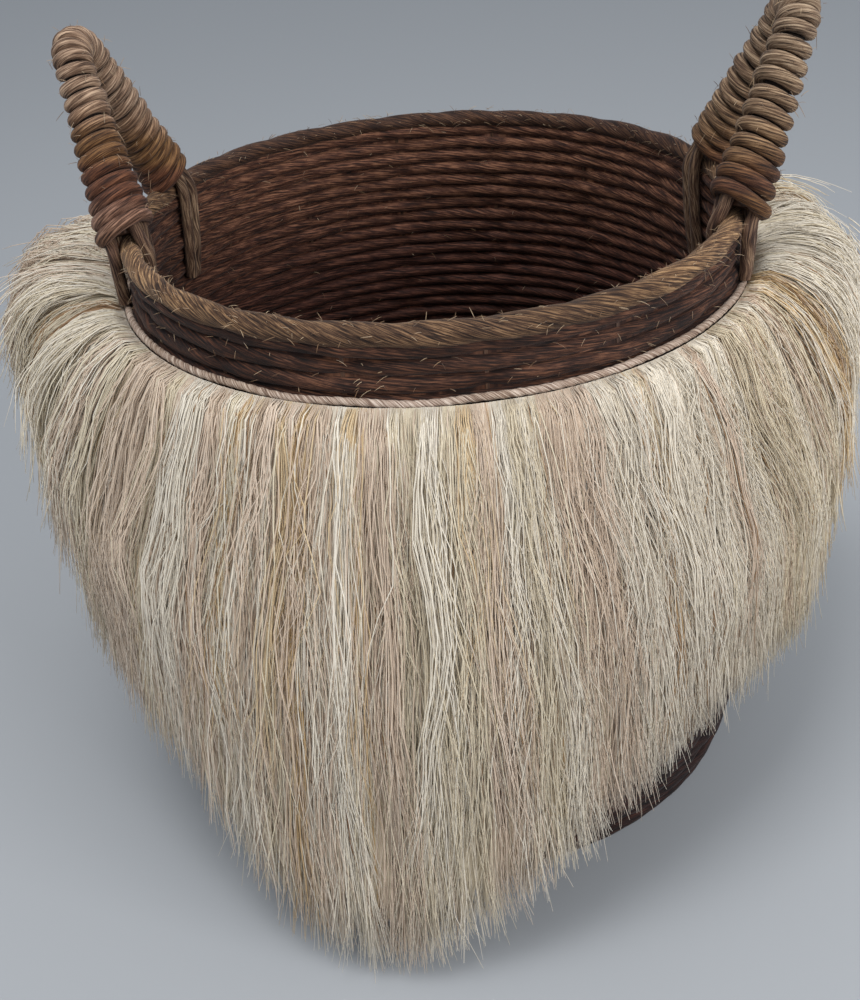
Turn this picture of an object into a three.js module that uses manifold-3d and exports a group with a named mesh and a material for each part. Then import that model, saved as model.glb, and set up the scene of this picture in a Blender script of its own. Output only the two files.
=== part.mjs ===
// Abaca basket: round woven rope body, twisted rim rope, two wrapped arch handles and a fibre fringe.
// Units are millimetres, +Z is up, the handles stand on +X and -X and the front is -Y.
// The origin is the middle of the flat bottom.
import * as THREE from 'three';
import { mergeVertices } from 'three/addons/utils/BufferGeometryUtils.js';
import Module from 'manifold-3d';

// Driving sizes
const RIM_RADIUS = 180;
const RIM_ROPE_DIAMETER = 12;
const RIM_HEIGHT = 368;
const WALL_ROPE_DIAMETER = 8.5;
const HEADER_CORD_DIAMETER = 4.5;
const HEADER_DROP = 33;
const STAKE_DIAMETER = 3.2;
const BASE_EDGE_ROUND = 3;
const STAKE_COUNT = 16;
const CLEARANCE = 0.3;
const SOCKET_DEPTH = 5;

// Handle sizes
const HANDLE_CORE_DIAMETER = 10;
const HANDLE_ROPE_DIAMETER = 8;
const HANDLE_FOOT_ANGLE = THREE.MathUtils.degToRad(17.5);
const HANDLE_RISE = 103;
const HANDLE_LEAN_LEFT = 26;
const HANDLE_LEAN_RIGHT = 36;
const HANDLE_APEX_RADIUS = 16;
const HANDLE_BEND_STEPS = 12;
const WRAP_GAP = 1.4;
const WRAP_TURN_STEPS = 12;
const WRAP_SIDES = 6;
const WRAP_BEND_RADIUS = 7;
const WRAP_BEND_STEPS = 4;
const TIE_STRAND_DIAMETER = 8;
const OUTER_TIE_TOP = 17;
const INNER_TIE_TOP = 28;
const OUTER_TIE_BEND = 9;
const INNER_TIE_BEND = 16;
const INNER_TIE_LENGTH = 58;

// Fringe sizes
const BUNDLE_COUNT = 24;
const BUNDLE_GAP = 0.4;
const BUNDLE_LOBE = 6;
const BUNDLE_TIP_NOTCH = 10;
const BUNDLE_RIDGE_SHARE = 0.36;
const BUNDLE_TO_WALL_GAP = 1;

// Facet counts round the basket and round the ropes
const RING_STEPS = 48;
const ROPE_SIDES = 8;
const STAKE_SIDES = 6;

// Heights and radii that follow from the driving sizes
const WALL_HALF = WALL_ROPE_DIAMETER / 2;
const RIM_ROPE_RADIUS = RIM_ROPE_DIAMETER / 2;
const WALL_TOP = RIM_HEIGHT - RIM_ROPE_RADIUS - CLEARANCE;
const WALL_BOTTOM = WALL_ROPE_DIAMETER + CLEARANCE;
const HEADER_HEIGHT = RIM_HEIGHT - HEADER_DROP;
const HEADER_RADIUS = HEADER_CORD_DIAMETER / 2;

// Depth of a facet between two steps round the rim
const RING_SAGITTA = RIM_RADIUS * (1 - Math.cos(Math.PI / RING_STEPS));

// Half width of the flat on top of the rim rope
const RIM_FLAT = RIM_ROPE_RADIUS * Math.tan(Math.PI / ROPE_SIDES);

// Middle line of the wall: share of the wall's height, and radius over the rim radius
const WALL_LINE = [
  [0, 1.083],
  [0.08, 1.112],
  [0.22, 1.132],
  [0.4, 1.126],
  [0.6, 1.088],
  [0.78, 1.042],
  [0.91, 1.01],
  [1, 1],
];

// Fringe section at its shoulder, outer and inner side: radius and height from the rim, over the rim radius
const FRINGE_OUTER = [
  [1.15, -0.3],
  [1.22, -0.46],
  [1.3, -0.66],
];
const FRINGE_OUTER_SWELLED = [
  [1.28, -0.13],
  [1.46, -0.15],
  [1.55, -0.33],
];
const FRINGE_INNER = [
  [1.085, -0.32],
  [1.105, -0.48],
  [1.145, -0.74],
];

// Fringe section below its shoulder: radius over the rim radius, share of the way down to the tips,
// and for the outer side the gain of radius where the fringe swells
const FRINGE_OUTER_FALL = [
  [1.38, 0.3, 0.12],
  [1.39, 0.65, 0.03],
];
const FRINGE_INNER_FALL = [
  [1.2, 0.3],
  [1.22, 0.62],
];
const FRINGE_FALL_BLEND = 0.3;

// Swells of the fringe at its two sides: middle and width in degrees round the basket, and share
const FRINGE_SWELLS = [
  [172, 30, 1],
  [8, 24, 0.75],
];

// Fringe tips, over the rim radius: short at the sides, and longer and wider at the front and the back
const FRINGE_TIP_RADIUS = 1.38;
const FRINGE_TIP_RADIUS_GAIN = 0.16;
const FRINGE_TIP_HEIGHT = -1.3;
const FRINGE_TIP_HEIGHT_GAIN = -0.72;
const FRINGE_POINT_ANGLE = THREE.MathUtils.degToRad(-96);
const FRINGE_POINT_WIDTH = THREE.MathUtils.degToRad(26);
const FRINGE_TIP_THICKNESS = 0.05;

const wasm = await Module();
wasm.setup();

// Rounded value between the points of a line given as [key, value] rows
function readLine(line, key) {
  const last = line.length - 1;
  const next = Math.min(last, Math.max(1, line.findIndex((row) => row[0] >= key)));
  const index = key >= line[last][0] ? last : next;
  const [lowKey, lowValue] = line[index - 1];
  const [highKey, highValue] = line[index];
  return THREE.MathUtils.mapLinear(key, lowKey, highKey, lowValue, highValue);
}

// Radius of the wall's middle line at a height
function wallRadius(height) {
  const share = THREE.MathUtils.clamp((height - WALL_BOTTOM) / (WALL_TOP - WALL_BOTTOM), 0, 1);
  return readLine(WALL_LINE, share) * RIM_RADIUS;
}

// Heights of the bends in the wall's middle line
function wallHeights() {
  return WALL_LINE.map(([share]) => THREE.MathUtils.lerp(WALL_BOTTOM, WALL_TOP, share));
}

// Point at an angle round the basket, a radius and a height
function polar(angle, radius, height) {
  return new THREE.Vector3(radius * Math.cos(angle), radius * Math.sin(angle), height);
}

// Geometry from points and triangles, turned so that its faces point outward
function solid(points, triangles) {
  const volume = triangles.reduce((sum, [i, j, k]) => {
    const cross = new THREE.Vector3().crossVectors(points[j], points[k]);
    return sum + points[i].dot(cross);
  }, 0);
  const faces = volume < 0 ? triangles.map(([i, j, k]) => [i, k, j]) : triangles;
  const geometry = new THREE.BufferGeometry();
  const places = points.flatMap((point) => point.toArray());
  geometry.setAttribute('position', new THREE.Float32BufferAttribute(places, 3));
  geometry.setIndex(faces.flat());
  geometry.computeVertexNormals();
  return geometry;
}

// Skin through rings of equal point count, closed into a loop or capped at both ends
function loft(rings, closed = false) {
  const count = rings[0].length;
  const points = rings.flat();
  const triangles = [];
  const spans = closed ? rings.length : rings.length - 1;
  for (let ring = 0; ring < spans; ring += 1) {
    const here = ring * count;
    const there = ((ring + 1) % rings.length) * count;
    for (let side = 0; side < count; side += 1) {
      const next = (side + 1) % count;
      triangles.push([here + side, here + next, there + next]);
      triangles.push([here + side, there + next, there + side]);
    }
  }
  if (!closed) {
    [0, rings.length - 1].forEach((ring) => {
      const middle = rings[ring].reduce((sum, point) => sum.add(point), new THREE.Vector3());
      points.push(middle.divideScalar(count));
      const centre = points.length - 1;
      for (let side = 0; side < count; side += 1) {
        const edge = [ring * count + side, ring * count + ((side + 1) % count)];
        triangles.push(ring === 0 ? [centre, edge[1], edge[0]] : [centre, edge[0], edge[1]]);
      }
    });
  }
  return solid(points, triangles);
}

// Section ring round a path point, whose flat sides lie at half widths along two directions
function sectionRing(centre, across, along, halfAcross, halfAlong, sides) {
  const corner = 1 / Math.cos(Math.PI / sides);
  return Array.from({ length: sides }, (_, side) => {
    const angle = ((side + 0.5) / sides) * 2 * Math.PI;
    return centre
      .clone()
      .addScaledVector(across, halfAcross * corner * Math.cos(angle))
      .addScaledVector(along, halfAlong * corner * Math.sin(angle));
  });
}

// Round tube through path points, with a reference direction for each point
function tube(path, references, radius, sides, closed = false) {
  const last = path.length - 1;
  const rings = path.map((point, index) => {
    const before = closed ? path[(index + last) % path.length] : path[Math.max(0, index - 1)];
    const after = closed ? path[(index + 1) % path.length] : path[Math.min(last, index + 1)];
    const tangent = after.clone().sub(before).normalize();
    const reference = references[index];
    const across = reference.clone().addScaledVector(tangent, -reference.dot(tangent)).normalize();
    const along = new THREE.Vector3().crossVectors(tangent, across);
    return sectionRing(point, across, along, radius, radius, sides);
  });
  return loft(rings, closed);
}

// Ring of rope round the basket
function ropeRing(ringRadius, height, ropeRadius, sides) {
  const angles = Array.from({ length: RING_STEPS }, (_, step) => (step / RING_STEPS) * 2 * Math.PI);
  const path = angles.map((angle) => polar(angle, ringRadius, height));
  const references = angles.map((angle) => polar(angle, 1, 0));
  return tube(path, references, ropeRadius, sides, true);
}

// Solids for cutting
function toManifold(geometry) {
  const bare = geometry.clone();
  bare.deleteAttribute('normal');
  bare.deleteAttribute('uv');
  const merged = mergeVertices(bare, 1e-4);
  const mesh = new wasm.Mesh({
    numProp: 3,
    vertProperties: new Float32Array(merged.attributes.position.array),
    triVerts: new Uint32Array(merged.index.array),
  });
  return new wasm.Manifold(mesh);
}

function fromManifold(manifold) {
  const { vertProperties, triVerts } = manifold.getMesh();
  const geometry = new THREE.BufferGeometry();
  geometry.setAttribute('position', new THREE.BufferAttribute(new Float32Array(vertProperties), 3));
  geometry.setIndex(new THREE.BufferAttribute(new Uint32Array(triVerts), 1));
  geometry.computeVertexNormals();
  return geometry;
}

function cut(geometry, cutters) {
  const solids = cutters.map(toManifold);
  return fromManifold(toManifold(geometry).subtract(wasm.Manifold.union(solids)));
}

// Upright stake, or with extra width the channel that holds it
function stake(angle, bottom, top, extra) {
  const radius = STAKE_DIAMETER / 2 + extra;
  const inside = wallHeights().filter((height) => height > bottom + radius && height < top - radius);
  const path = [bottom, ...inside, top].map((height) => polar(angle, wallRadius(height), height));
  const across = polar(angle, 1, 0);
  const along = polar(angle + Math.PI / 2, 1, 0);
  return loft(path.map((point) => sectionRing(point, across, along, radius, radius, STAKE_SIDES)));
}

function stakeAngles() {
  return Array.from({ length: STAKE_COUNT }, (_, index) => ((index + 0.5) / STAKE_COUNT) * 2 * Math.PI);
}

// Flat woven bottom with a rounded edge and a blind socket under each stake
function baseWeave() {
  const edge = wallRadius(WALL_BOTTOM) + WALL_HALF;
  const profile = [
    new THREE.Vector2(0, 0),
    new THREE.Vector2(edge - BASE_EDGE_ROUND, 0),
    new THREE.Vector2(edge, BASE_EDGE_ROUND),
    new THREE.Vector2(edge, WALL_ROPE_DIAMETER),
    new THREE.Vector2(0, WALL_ROPE_DIAMETER),
  ];
  const disc = new THREE.LatheGeometry(profile, RING_STEPS);
  disc.rotateX(Math.PI / 2);
  const floor = WALL_ROPE_DIAMETER - SOCKET_DEPTH;
  const sockets = stakeAngles().map((angle) => stake(angle, floor, WALL_BOTTOM, CLEARANCE));
  return cut(disc, sockets);
}

// Wall of rope courses, one shell from the bottom to under the rim rope, with the stake channels
function wallWeave() {
  const heights = wallHeights();
  const rings = Array.from({ length: RING_STEPS }, (_, step) => {
    const angle = (step / RING_STEPS) * 2 * Math.PI;
    const outer = heights.map((height) => polar(angle, wallRadius(height) + WALL_HALF, height));
    const inner = heights.map((height) => polar(angle, wallRadius(height) - WALL_HALF, height));
    return [...outer, ...inner.reverse()];
  });
  const channels = stakeAngles().map((angle) => stake(angle, 0, RIM_HEIGHT, CLEARANCE));
  return cut(loft(rings, true), channels);
}

// Plane and sizes of one handle: two legs that lean together and meet in a tight round top.
// The slope is the angle between a leg and the plane's upward line, and start is where the core begins
// on a leg, just over the rim rope's flat top.
function handlePlane(side) {
  const footX = RIM_RADIUS * Math.cos(HANDLE_FOOT_ANGLE);
  const lean = side > 0 ? HANDLE_LEAN_RIGHT : HANDLE_LEAN_LEFT;
  const leanAngle = Math.atan2(lean, HANDLE_RISE);
  const half = RIM_RADIUS * Math.sin(HANDLE_FOOT_ANGLE);
  const centre = Math.hypot(HANDLE_RISE, lean) - HANDLE_APEX_RADIUS;
  const reach = Math.hypot(half, centre);
  const slope = Math.atan2(half, centre) - Math.asin(HANDLE_APEX_RADIUS / reach);
  const overRim = (RIM_ROPE_RADIUS + CLEARANCE + RIM_FLAT * Math.tan(leanAngle)) / Math.cos(leanAngle);
  const start = (overRim + (HANDLE_CORE_DIAMETER / 2) * Math.sin(slope)) / Math.cos(slope);
  const leg = Math.sqrt(reach ** 2 - HANDLE_APEX_RADIUS ** 2) - start;
  return {
    foot: new THREE.Vector3(side * footX, 0, RIM_HEIGHT),
    up: new THREE.Vector3(side * lean, 0, HANDLE_RISE).normalize(),
    out: new THREE.Vector3(side * HANDLE_RISE, 0, -lean).normalize(),
    acrossY: new THREE.Vector3(0, 1, 0),
    centre,
    slope,
    start,
    leg,
    turn: Math.PI - 2 * slope,
  };
}

// Frame on the arch's middle line at a length from the front leg's start, which may lie before it
function archFrame(plane, length) {
  const turned = THREE.MathUtils.clamp((length - plane.leg) / HANDLE_APEX_RADIUS, 0, plane.turn);
  const angle = plane.slope + turned;
  const straight = length - plane.leg - turned * HANDLE_APEX_RADIUS;
  const direction = (y, t) => plane.acrossY.clone().multiplyScalar(y).addScaledVector(plane.up, t);
  const tangent = direction(Math.sin(angle), Math.cos(angle));
  const round = direction(-Math.cos(angle), Math.sin(angle)).multiplyScalar(HANDLE_APEX_RADIUS);
  return {
    point: plane.foot
      .clone()
      .addScaledVector(plane.up, plane.centre)
      .add(round)
      .addScaledVector(tangent, straight),
    tangent,
    inward: direction(Math.cos(angle), -Math.sin(angle)),
  };
}

function archLength(plane) {
  return 2 * plane.leg + HANDLE_APEX_RADIUS * plane.turn;
}

// Stiff arch inside the windings
function handleCore(side) {
  const plane = handlePlane(side);
  const lengths = [0, plane.leg / 2];
  for (let step = 0; step <= HANDLE_BEND_STEPS; step += 1) {
    lengths.push(plane.leg + (step / HANDLE_BEND_STEPS) * HANDLE_APEX_RADIUS * plane.turn);
  }
  lengths.push(archLength(plane) - plane.leg / 2, archLength(plane));
  const radius = HANDLE_CORE_DIAMETER / 2;
  const rings = lengths.map((length) => {
    const { point, inward } = archFrame(plane, length);
    return sectionRing(point, inward, plane.out, radius, radius, ROPE_SIDES);
  });
  return loft(rings);
}

// Middle line of a winding: as many turns as fit, even up the legs and spread over the round top so that they
// clear one another on its inside, and at each foot an arc down into a straight end, which meets the top of
// the outer tie squarely. Rows hold the turn round the core and the length along it.
function wrapPath(side) {
  const plane = handlePlane(side);
  const total = archLength(plane);
  const rope = HANDLE_ROPE_DIAMETER / 2;
  const chord = Math.cos(Math.PI / WRAP_TURN_STEPS);
  const ring = (HANDLE_CORE_DIAMETER / 2 / Math.cos(Math.PI / ROPE_SIDES) + CLEARANCE + rope) / chord;
  const low = OUTER_TIE_TOP + CLEARANCE - plane.start;
  const straightEnd = low + HANDLE_ROPE_DIAMETER;
  const crowding = 1 - ring / HANDLE_APEX_RADIUS;
  const wound = plane.leg - straightEnd - WRAP_BEND_RADIUS;
  const crowded = HANDLE_APEX_RADIUS * plane.turn * crowding;
  const turnCount = Math.floor((2 * wound + crowded) / (HANDLE_ROPE_DIAMETER + WRAP_GAP));
  const pitch = (2 * wound + crowded) / turnCount;
  const bendAngle = Math.PI / 2 - Math.atan(pitch / (2 * Math.PI * ring));
  const foot = [
    [0, low],
    [0, straightEnd],
  ];
  for (let step = 1; step <= WRAP_BEND_STEPS; step += 1) {
    const angle = (step / WRAP_BEND_STEPS) * bendAngle;
    const sideways = WRAP_BEND_RADIUS * (1 - Math.cos(angle));
    foot.push([sideways / ring, straightEnd + WRAP_BEND_RADIUS * Math.sin(angle)]);
  }
  const fullTurn = 2 * Math.PI * turnCount;
  const otherFoot = foot.map(([turn, length]) => [fullTurn - turn, total - length]).reverse();
  const start = foot[foot.length - 1];
  const finish = otherFoot[0];
  const steps = turnCount * WRAP_TURN_STEPS;
  const lengthAt = (share) => {
    const even = share * (2 * wound + crowded);
    const onTop = THREE.MathUtils.clamp(even - wound, 0, crowded);
    return plane.leg - wound + (even - onTop) + onTop / crowding;
  };
  const turns = Array.from({ length: steps - 1 }, (_, index) => {
    const share = (index + 1) / steps;
    return [THREE.MathUtils.lerp(start[0], finish[0], share), lengthAt(share)];
  });
  const path = [];
  const references = [];
  [...foot, ...turns, ...otherFoot].forEach(([turn, length]) => {
    const { point, inward } = archFrame(plane, length);
    const direction = plane.out
      .clone()
      .multiplyScalar(Math.cos(turn))
      .addScaledVector(inward, Math.sin(turn));
    path.push(point.addScaledVector(direction, ring));
    references.push(direction);
  });
  return { path, references };
}

// Least gap of a winding to itself, measured on points along its middle line
function leastSelfGap(path, diameter) {
  const points = [];
  const lengths = [];
  let length = 0;
  path.slice(1).forEach((point, index) => {
    const span = point.distanceTo(path[index]);
    [0, 0.25, 0.5, 0.75].forEach((share) => {
      points.push(path[index].clone().lerp(point, share));
      lengths.push(length + span * share);
    });
    length += span;
  });
  let least = Infinity;
  for (let one = 0; one < points.length; one += 1) {
    for (let other = one + 1; other < points.length; other += 1) {
      if (lengths[other] - lengths[one] > diameter * 3) {
        least = Math.min(least, points[one].distanceTo(points[other]) - diameter);
      }
    }
  }
  return least;
}

// Two strands of a foot side by side, from beside the core down the outer or inner side of the rim
function footTie(side, end, outward) {
  const plane = handlePlane(side);
  const strand = TIE_STRAND_DIAMETER / 2;
  const angle = side > 0 ? end * HANDLE_FOOT_ANGLE : Math.PI - end * HANDLE_FOOT_ANGLE;
  const sign = outward ? 1 : -1;
  const clearance = CLEARANCE + (outward ? 0 : RING_SAGITTA);
  const besideCore = HANDLE_CORE_DIAMETER / 2 + CLEARANCE + strand;
  const besideRim = RIM_ROPE_RADIUS + clearance + strand;
  const besideWall = (drop) => wallRadius(RIM_HEIGHT - drop) - RIM_RADIUS
    + sign * (WALL_HALF + clearance + strand);
  const radial = polar(angle, 1, 0);
  const tangent = polar(angle + Math.PI / 2, 1, 0);
  const ringAt = (offset, rise) => {
    const centre = polar(angle, RIM_RADIUS + offset, RIM_HEIGHT + rise);
    return sectionRing(centre, radial, tangent, strand, strand * 2, ROPE_SIDES);
  };
  const ringBesideCore = (distance) => {
    const length = end < 0 ? distance - plane.start : archLength(plane) - distance + plane.start;
    const { point, inward } = archFrame(plane, length);
    const centre = point.addScaledVector(plane.out, sign * besideCore);
    const along = inward.multiplyScalar(-end * side);
    return sectionRing(centre, plane.out, along, strand, strand * 2, ROPE_SIDES);
  };
  const underRim = RIM_ROPE_RADIUS + HANDLE_ROPE_DIAMETER;
  const bottom = outward ? HEADER_DROP - HEADER_RADIUS - CLEARANCE : INNER_TIE_LENGTH;
  const bends = wallHeights()
    .map((height) => RIM_HEIGHT - height)
    .filter((drop) => drop > underRim && drop < bottom)
    .sort((one, other) => one - other);
  const rings = [
    ringBesideCore(outward ? OUTER_TIE_TOP : INNER_TIE_TOP),
    ringBesideCore(outward ? OUTER_TIE_BEND : INNER_TIE_BEND),
    ringAt(sign * besideRim, RIM_FLAT),
    ringAt(sign * besideRim, -RIM_FLAT),
    ...[underRim, ...bends, bottom].map((drop) => ringAt(besideWall(drop), -drop)),
  ];
  return loft(rings);
}

// Share of the extra length of the fringe at an angle: 1 at the two points, 0 at the sides
function fringePoint(angle) {
  const fromPoint = Math.abs(Math.atan(Math.tan(angle - FRINGE_POINT_ANGLE)));
  return Math.exp(-((fromPoint / FRINGE_POINT_WIDTH) ** 2));
}

// Share of the swelled section at an angle: nearly 1 where the fringe swells most, 0 away from there
function fringeSwell(angle) {
  return FRINGE_SWELLS.reduce((sum, [middle, width, share]) => {
    const apart = THREE.MathUtils.euclideanModulo(THREE.MathUtils.radToDeg(angle) - middle + 180, 360) - 180;
    return sum + share * Math.exp(-((apart / width) ** 2));
  }, 0);
}

// One lock of the fringe: a thick bent wedge hanging from the header cord, with a lobed outside
// and a ragged end
function fringeBundle(index) {
  const sector = (2 * Math.PI) / BUNDLE_COUNT;
  const middle = (index + 0.5) * sector;
  const outsideShares = [-1, -BUNDLE_RIDGE_SHARE, BUNDLE_RIDGE_SHARE, 1];
  const insideShares = [1, 0, -1];

  const place = (share, radius, height) => {
    const half = sector / 2 - BUNDLE_GAP / 2 / radius;
    return polar(middle + share * half, radius, RIM_HEIGHT + height);
  };
  const extra = (share) => fringePoint(middle + (share * sector) / 2);
  const swell = (share) => fringeSwell(middle + (share * sector) / 2);
  const outerStation = (station, share) => FRINGE_OUTER[station].map((value, axis) => (
    THREE.MathUtils.lerp(value, FRINGE_OUTER_SWELLED[station][axis], swell(share))
  ));
  const tipRadius = (share) => FRINGE_TIP_RADIUS + FRINGE_TIP_RADIUS_GAIN * extra(share);
  const tipHeight = (share) => FRINGE_TIP_HEIGHT + FRINGE_TIP_HEIGHT_GAIN * extra(share);

  const root = () => {
    const wall = wallRadius(HEADER_HEIGHT) + WALL_HALF;
    const top = -HEADER_DROP - HEADER_RADIUS - CLEARANCE;
    const outer = wall + HEADER_CORD_DIAMETER * 2;
    return [
      ...outsideShares.map((share) => place(share, outer, top)),
      ...insideShares.map((share) => place(share, wall + BUNDLE_TO_WALL_GAP, top)),
    ];
  };
  const outerPoint = (share, radius, height) => (
    place(share, radius * RIM_RADIUS - BUNDLE_LOBE * share * share, height * RIM_RADIUS)
  );
  const shoulder = FRINGE_INNER.map(([innerRadius, innerHeight], station) => [
    ...outsideShares.map((share) => outerPoint(share, ...outerStation(station, share))),
    ...insideShares.map((share) => place(share, innerRadius * RIM_RADIUS, innerHeight * RIM_RADIUS)),
  ]);
  const lastStation = FRINGE_INNER.length - 1;
  const innerStart = FRINGE_INNER[lastStation][1];
  const fall = FRINGE_OUTER_FALL.map(([outerRadius, outerShare, gain], station) => {
    const [innerRadius, innerShare] = FRINGE_INNER_FALL[station];
    const blend = (station + 1) * FRINGE_FALL_BLEND;
    return [
      ...outsideShares.map((share) => {
        const [, outerStart] = outerStation(lastStation, share);
        const radius = THREE.MathUtils.lerp(outerRadius + gain * swell(share), tipRadius(share), blend);
        return outerPoint(share, radius, THREE.MathUtils.lerp(outerStart, tipHeight(share), outerShare));
      }),
      ...insideShares.map((share) => {
        const height = THREE.MathUtils.lerp(innerStart, tipHeight(share), innerShare);
        return place(share, innerRadius * RIM_RADIUS, height * RIM_RADIUS);
      }),
    ];
  });
  const tip = (share, thickness) => {
    const notch = BUNDLE_TIP_NOTCH * share * share;
    return place(share, (tipRadius(share) - thickness) * RIM_RADIUS, tipHeight(share) * RIM_RADIUS + notch);
  };
  return loft([
    root(),
    ...shoulder,
    ...fall,
    [
      ...outsideShares.map((share) => tip(share, 0)),
      ...insideShares.map((share) => tip(share, FRINGE_TIP_THICKNESS)),
    ],
  ]);
}

const group = new THREE.Group();

function add(name, geometry, color, roughness) {
  const material = new THREE.MeshStandardMaterial({ color, roughness, metalness: 0 });
  const mesh = new THREE.Mesh(geometry, material);
  mesh.name = name;
  group.add(mesh);
}

const DARK_ROPE = 0x4a2c1c;
const RIM_ROPE = 0xb08a58;
const HANDLE_ROPE = 0x9a7a5c;
const HEADER_CORD = 0xb89a86;
const FRINGE_FIBRE = 0xd8c8a8;
const STAKE_CANE = 0xa07c50;

add('base_weave', baseWeave(), DARK_ROPE, 0.9);
add('wall_weave', wallWeave(), DARK_ROPE, 0.9);
stakeAngles().forEach((angle, index) => {
  const bottom = WALL_ROPE_DIAMETER - SOCKET_DEPTH + CLEARANCE;
  const name = `wall_stake_${String(index + 1).padStart(2, '0')}`;
  add(name, stake(angle, bottom, WALL_TOP, 0), STAKE_CANE, 0.7);
});
add('rim_rope', ropeRing(RIM_RADIUS, RIM_HEIGHT, RIM_ROPE_RADIUS, ROPE_SIDES), RIM_ROPE, 0.85);
const headerRing = wallRadius(HEADER_HEIGHT) + WALL_HALF + CLEARANCE + HEADER_RADIUS;
add('fringe_header_cord', ropeRing(headerRing, HEADER_HEIGHT, HEADER_RADIUS, ROPE_SIDES), HEADER_CORD, 0.9);

[['left', -1], ['right', 1]].forEach(([label, side]) => {
  add(`${label}_handle_core`, handleCore(side), STAKE_CANE, 0.7);
  const { path, references } = wrapPath(side);
  const flat = (HANDLE_ROPE_DIAMETER / 2) * Math.cos(Math.PI / WRAP_SIDES);
  add(`${label}_handle_wrap`, tube(path, references, flat, WRAP_SIDES), HANDLE_ROPE, 0.9);
  const gap = leastSelfGap(path, HANDLE_ROPE_DIAMETER);
  console.log(`${label}_handle_wrap least gap to itself ${gap.toFixed(2)} mm`);
  [['front', -1], ['back', 1]].forEach(([place, end]) => {
    add(`${label}_${place}_outer_tie`, footTie(side, end, true), HANDLE_ROPE, 0.9);
    add(`${label}_${place}_inner_tie`, footTie(side, end, false), HANDLE_ROPE, 0.9);
  });
});

for (let index = 0; index < BUNDLE_COUNT; index += 1) {
  const name = `fringe_bundle_${String(index + 1).padStart(2, '0')}`;
  add(name, fringeBundle(index), FRINGE_FIBRE, 0.95);
}

export default group;
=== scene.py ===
"""Looks of the abaca basket: rope weave, twisted rim, wound handles and a fringe of raw fibre.

Everything is in metres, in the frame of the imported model: the origin is the middle of the flat bottom,
Z is up, the handles stand on +X and -X and the front is -Y.
"""

import logging
import math
from dataclasses import dataclass, field, replace
from enum import Enum
from typing import Iterable, Optional, Sequence, Union

import bpy
import numpy as np
from mathutils import Matrix, Vector

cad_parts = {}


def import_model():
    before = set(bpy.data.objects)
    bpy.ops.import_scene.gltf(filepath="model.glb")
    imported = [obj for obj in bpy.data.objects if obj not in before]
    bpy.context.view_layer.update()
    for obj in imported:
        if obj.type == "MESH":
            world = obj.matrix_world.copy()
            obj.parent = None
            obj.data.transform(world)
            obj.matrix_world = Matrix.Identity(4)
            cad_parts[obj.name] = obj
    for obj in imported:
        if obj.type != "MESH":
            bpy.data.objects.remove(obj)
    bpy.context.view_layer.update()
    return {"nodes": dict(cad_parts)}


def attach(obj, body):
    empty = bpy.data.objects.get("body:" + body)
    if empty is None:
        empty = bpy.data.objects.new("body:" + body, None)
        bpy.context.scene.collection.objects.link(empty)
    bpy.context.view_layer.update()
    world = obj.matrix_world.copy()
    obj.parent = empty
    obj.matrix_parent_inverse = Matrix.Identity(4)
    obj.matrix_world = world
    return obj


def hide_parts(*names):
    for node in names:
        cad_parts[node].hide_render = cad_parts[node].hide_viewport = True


logging.basicConfig(level=logging.INFO, format="%(message)s")
log = logging.getLogger("abaca_basket")

BODY = "root"
TAU = 2.0 * math.pi

# Maps of a mesh: places on the 0 to 1 bake map, and metres along and round a yarn
BAKE_MAP = "OFBake"
LAY_MAP = "lay"
# A fibre's tone is one of these columns of its map, and it keeps this share clear at both sides of the column
TONE_COLUMNS = 256
COLUMN_MARGIN = 0.12

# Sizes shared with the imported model
RIM_RADIUS = 0.180
RIM_HEIGHT = 0.368
RIM_ROPE = 0.012
WALL_ROPE = 0.0085
HEADER_CORD = 0.0045
HEADER_DROP = 0.033
GAP = 0.0003
STAKES = 16
FOOT_ANGLE = math.radians(17.5)
HANDLE_RISE = 0.103
APEX_RADIUS = 0.016
BUNDLES = 24
WALL_BOTTOM = WALL_ROPE + GAP
WALL_TOP = RIM_HEIGHT - RIM_ROPE / 2 - GAP

# Middle line of the wall: share of the wall's height, and radius over the rim radius
WALL_LINE = np.array(
    [
        [0.0, 1.083],
        [0.08, 1.112],
        [0.22, 1.132],
        [0.4, 1.126],
        [0.6, 1.088],
        [0.78, 1.042],
        [0.91, 1.01],
        [1.0, 1.0],
    ]
)
# Swells of the fringe at its two sides: middle and width in degrees round the basket, and share
FRINGE_SWELLS = np.array([[172.0, 30.0, 1.0], [8.0, 24.0, 0.75]])

# A colour is red, green and blue from 0 to 255, as they are written for a screen
Colour = tuple[float, float, float]
Triple = tuple[float, float, float]
Rows = tuple[tuple[float, ...], ...]
# Roots of hairs, their ways out and the ways along what they grow on
Places = tuple[np.ndarray, np.ndarray, np.ndarray]
Socket = bpy.types.NodeSocket


class Side(Enum):
    """Which handle, as the sign of its X."""

    LEFT = -1
    RIGHT = 1


class End(Enum):
    """Which foot of a handle, as the sign of its Y."""

    FRONT = -1
    BACK = 1


def wall_radius(height: np.ndarray) -> np.ndarray:
    """Radius of the wall's middle line at heights above the floor."""
    share = np.clip((np.asarray(height) - WALL_BOTTOM) / (WALL_TOP - WALL_BOTTOM), 0.0, 1.0)
    return np.interp(share, WALL_LINE[:, 0], WALL_LINE[:, 1]) * RIM_RADIUS


def polar(angle: np.ndarray, radius: np.ndarray, height: np.ndarray) -> np.ndarray:
    """Points at angles round the basket, radii and heights, as rows of x, y, z."""
    angle, radius, height = np.broadcast_arrays(angle, radius, height)
    return np.stack([radius * np.cos(angle), radius * np.sin(angle), height], axis=-1)


def unit(vectors: np.ndarray) -> np.ndarray:
    """Vectors scaled to length 1 along the last axis."""
    return vectors / np.maximum(np.linalg.norm(vectors, axis=-1, keepdims=True), 1e-12)


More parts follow.
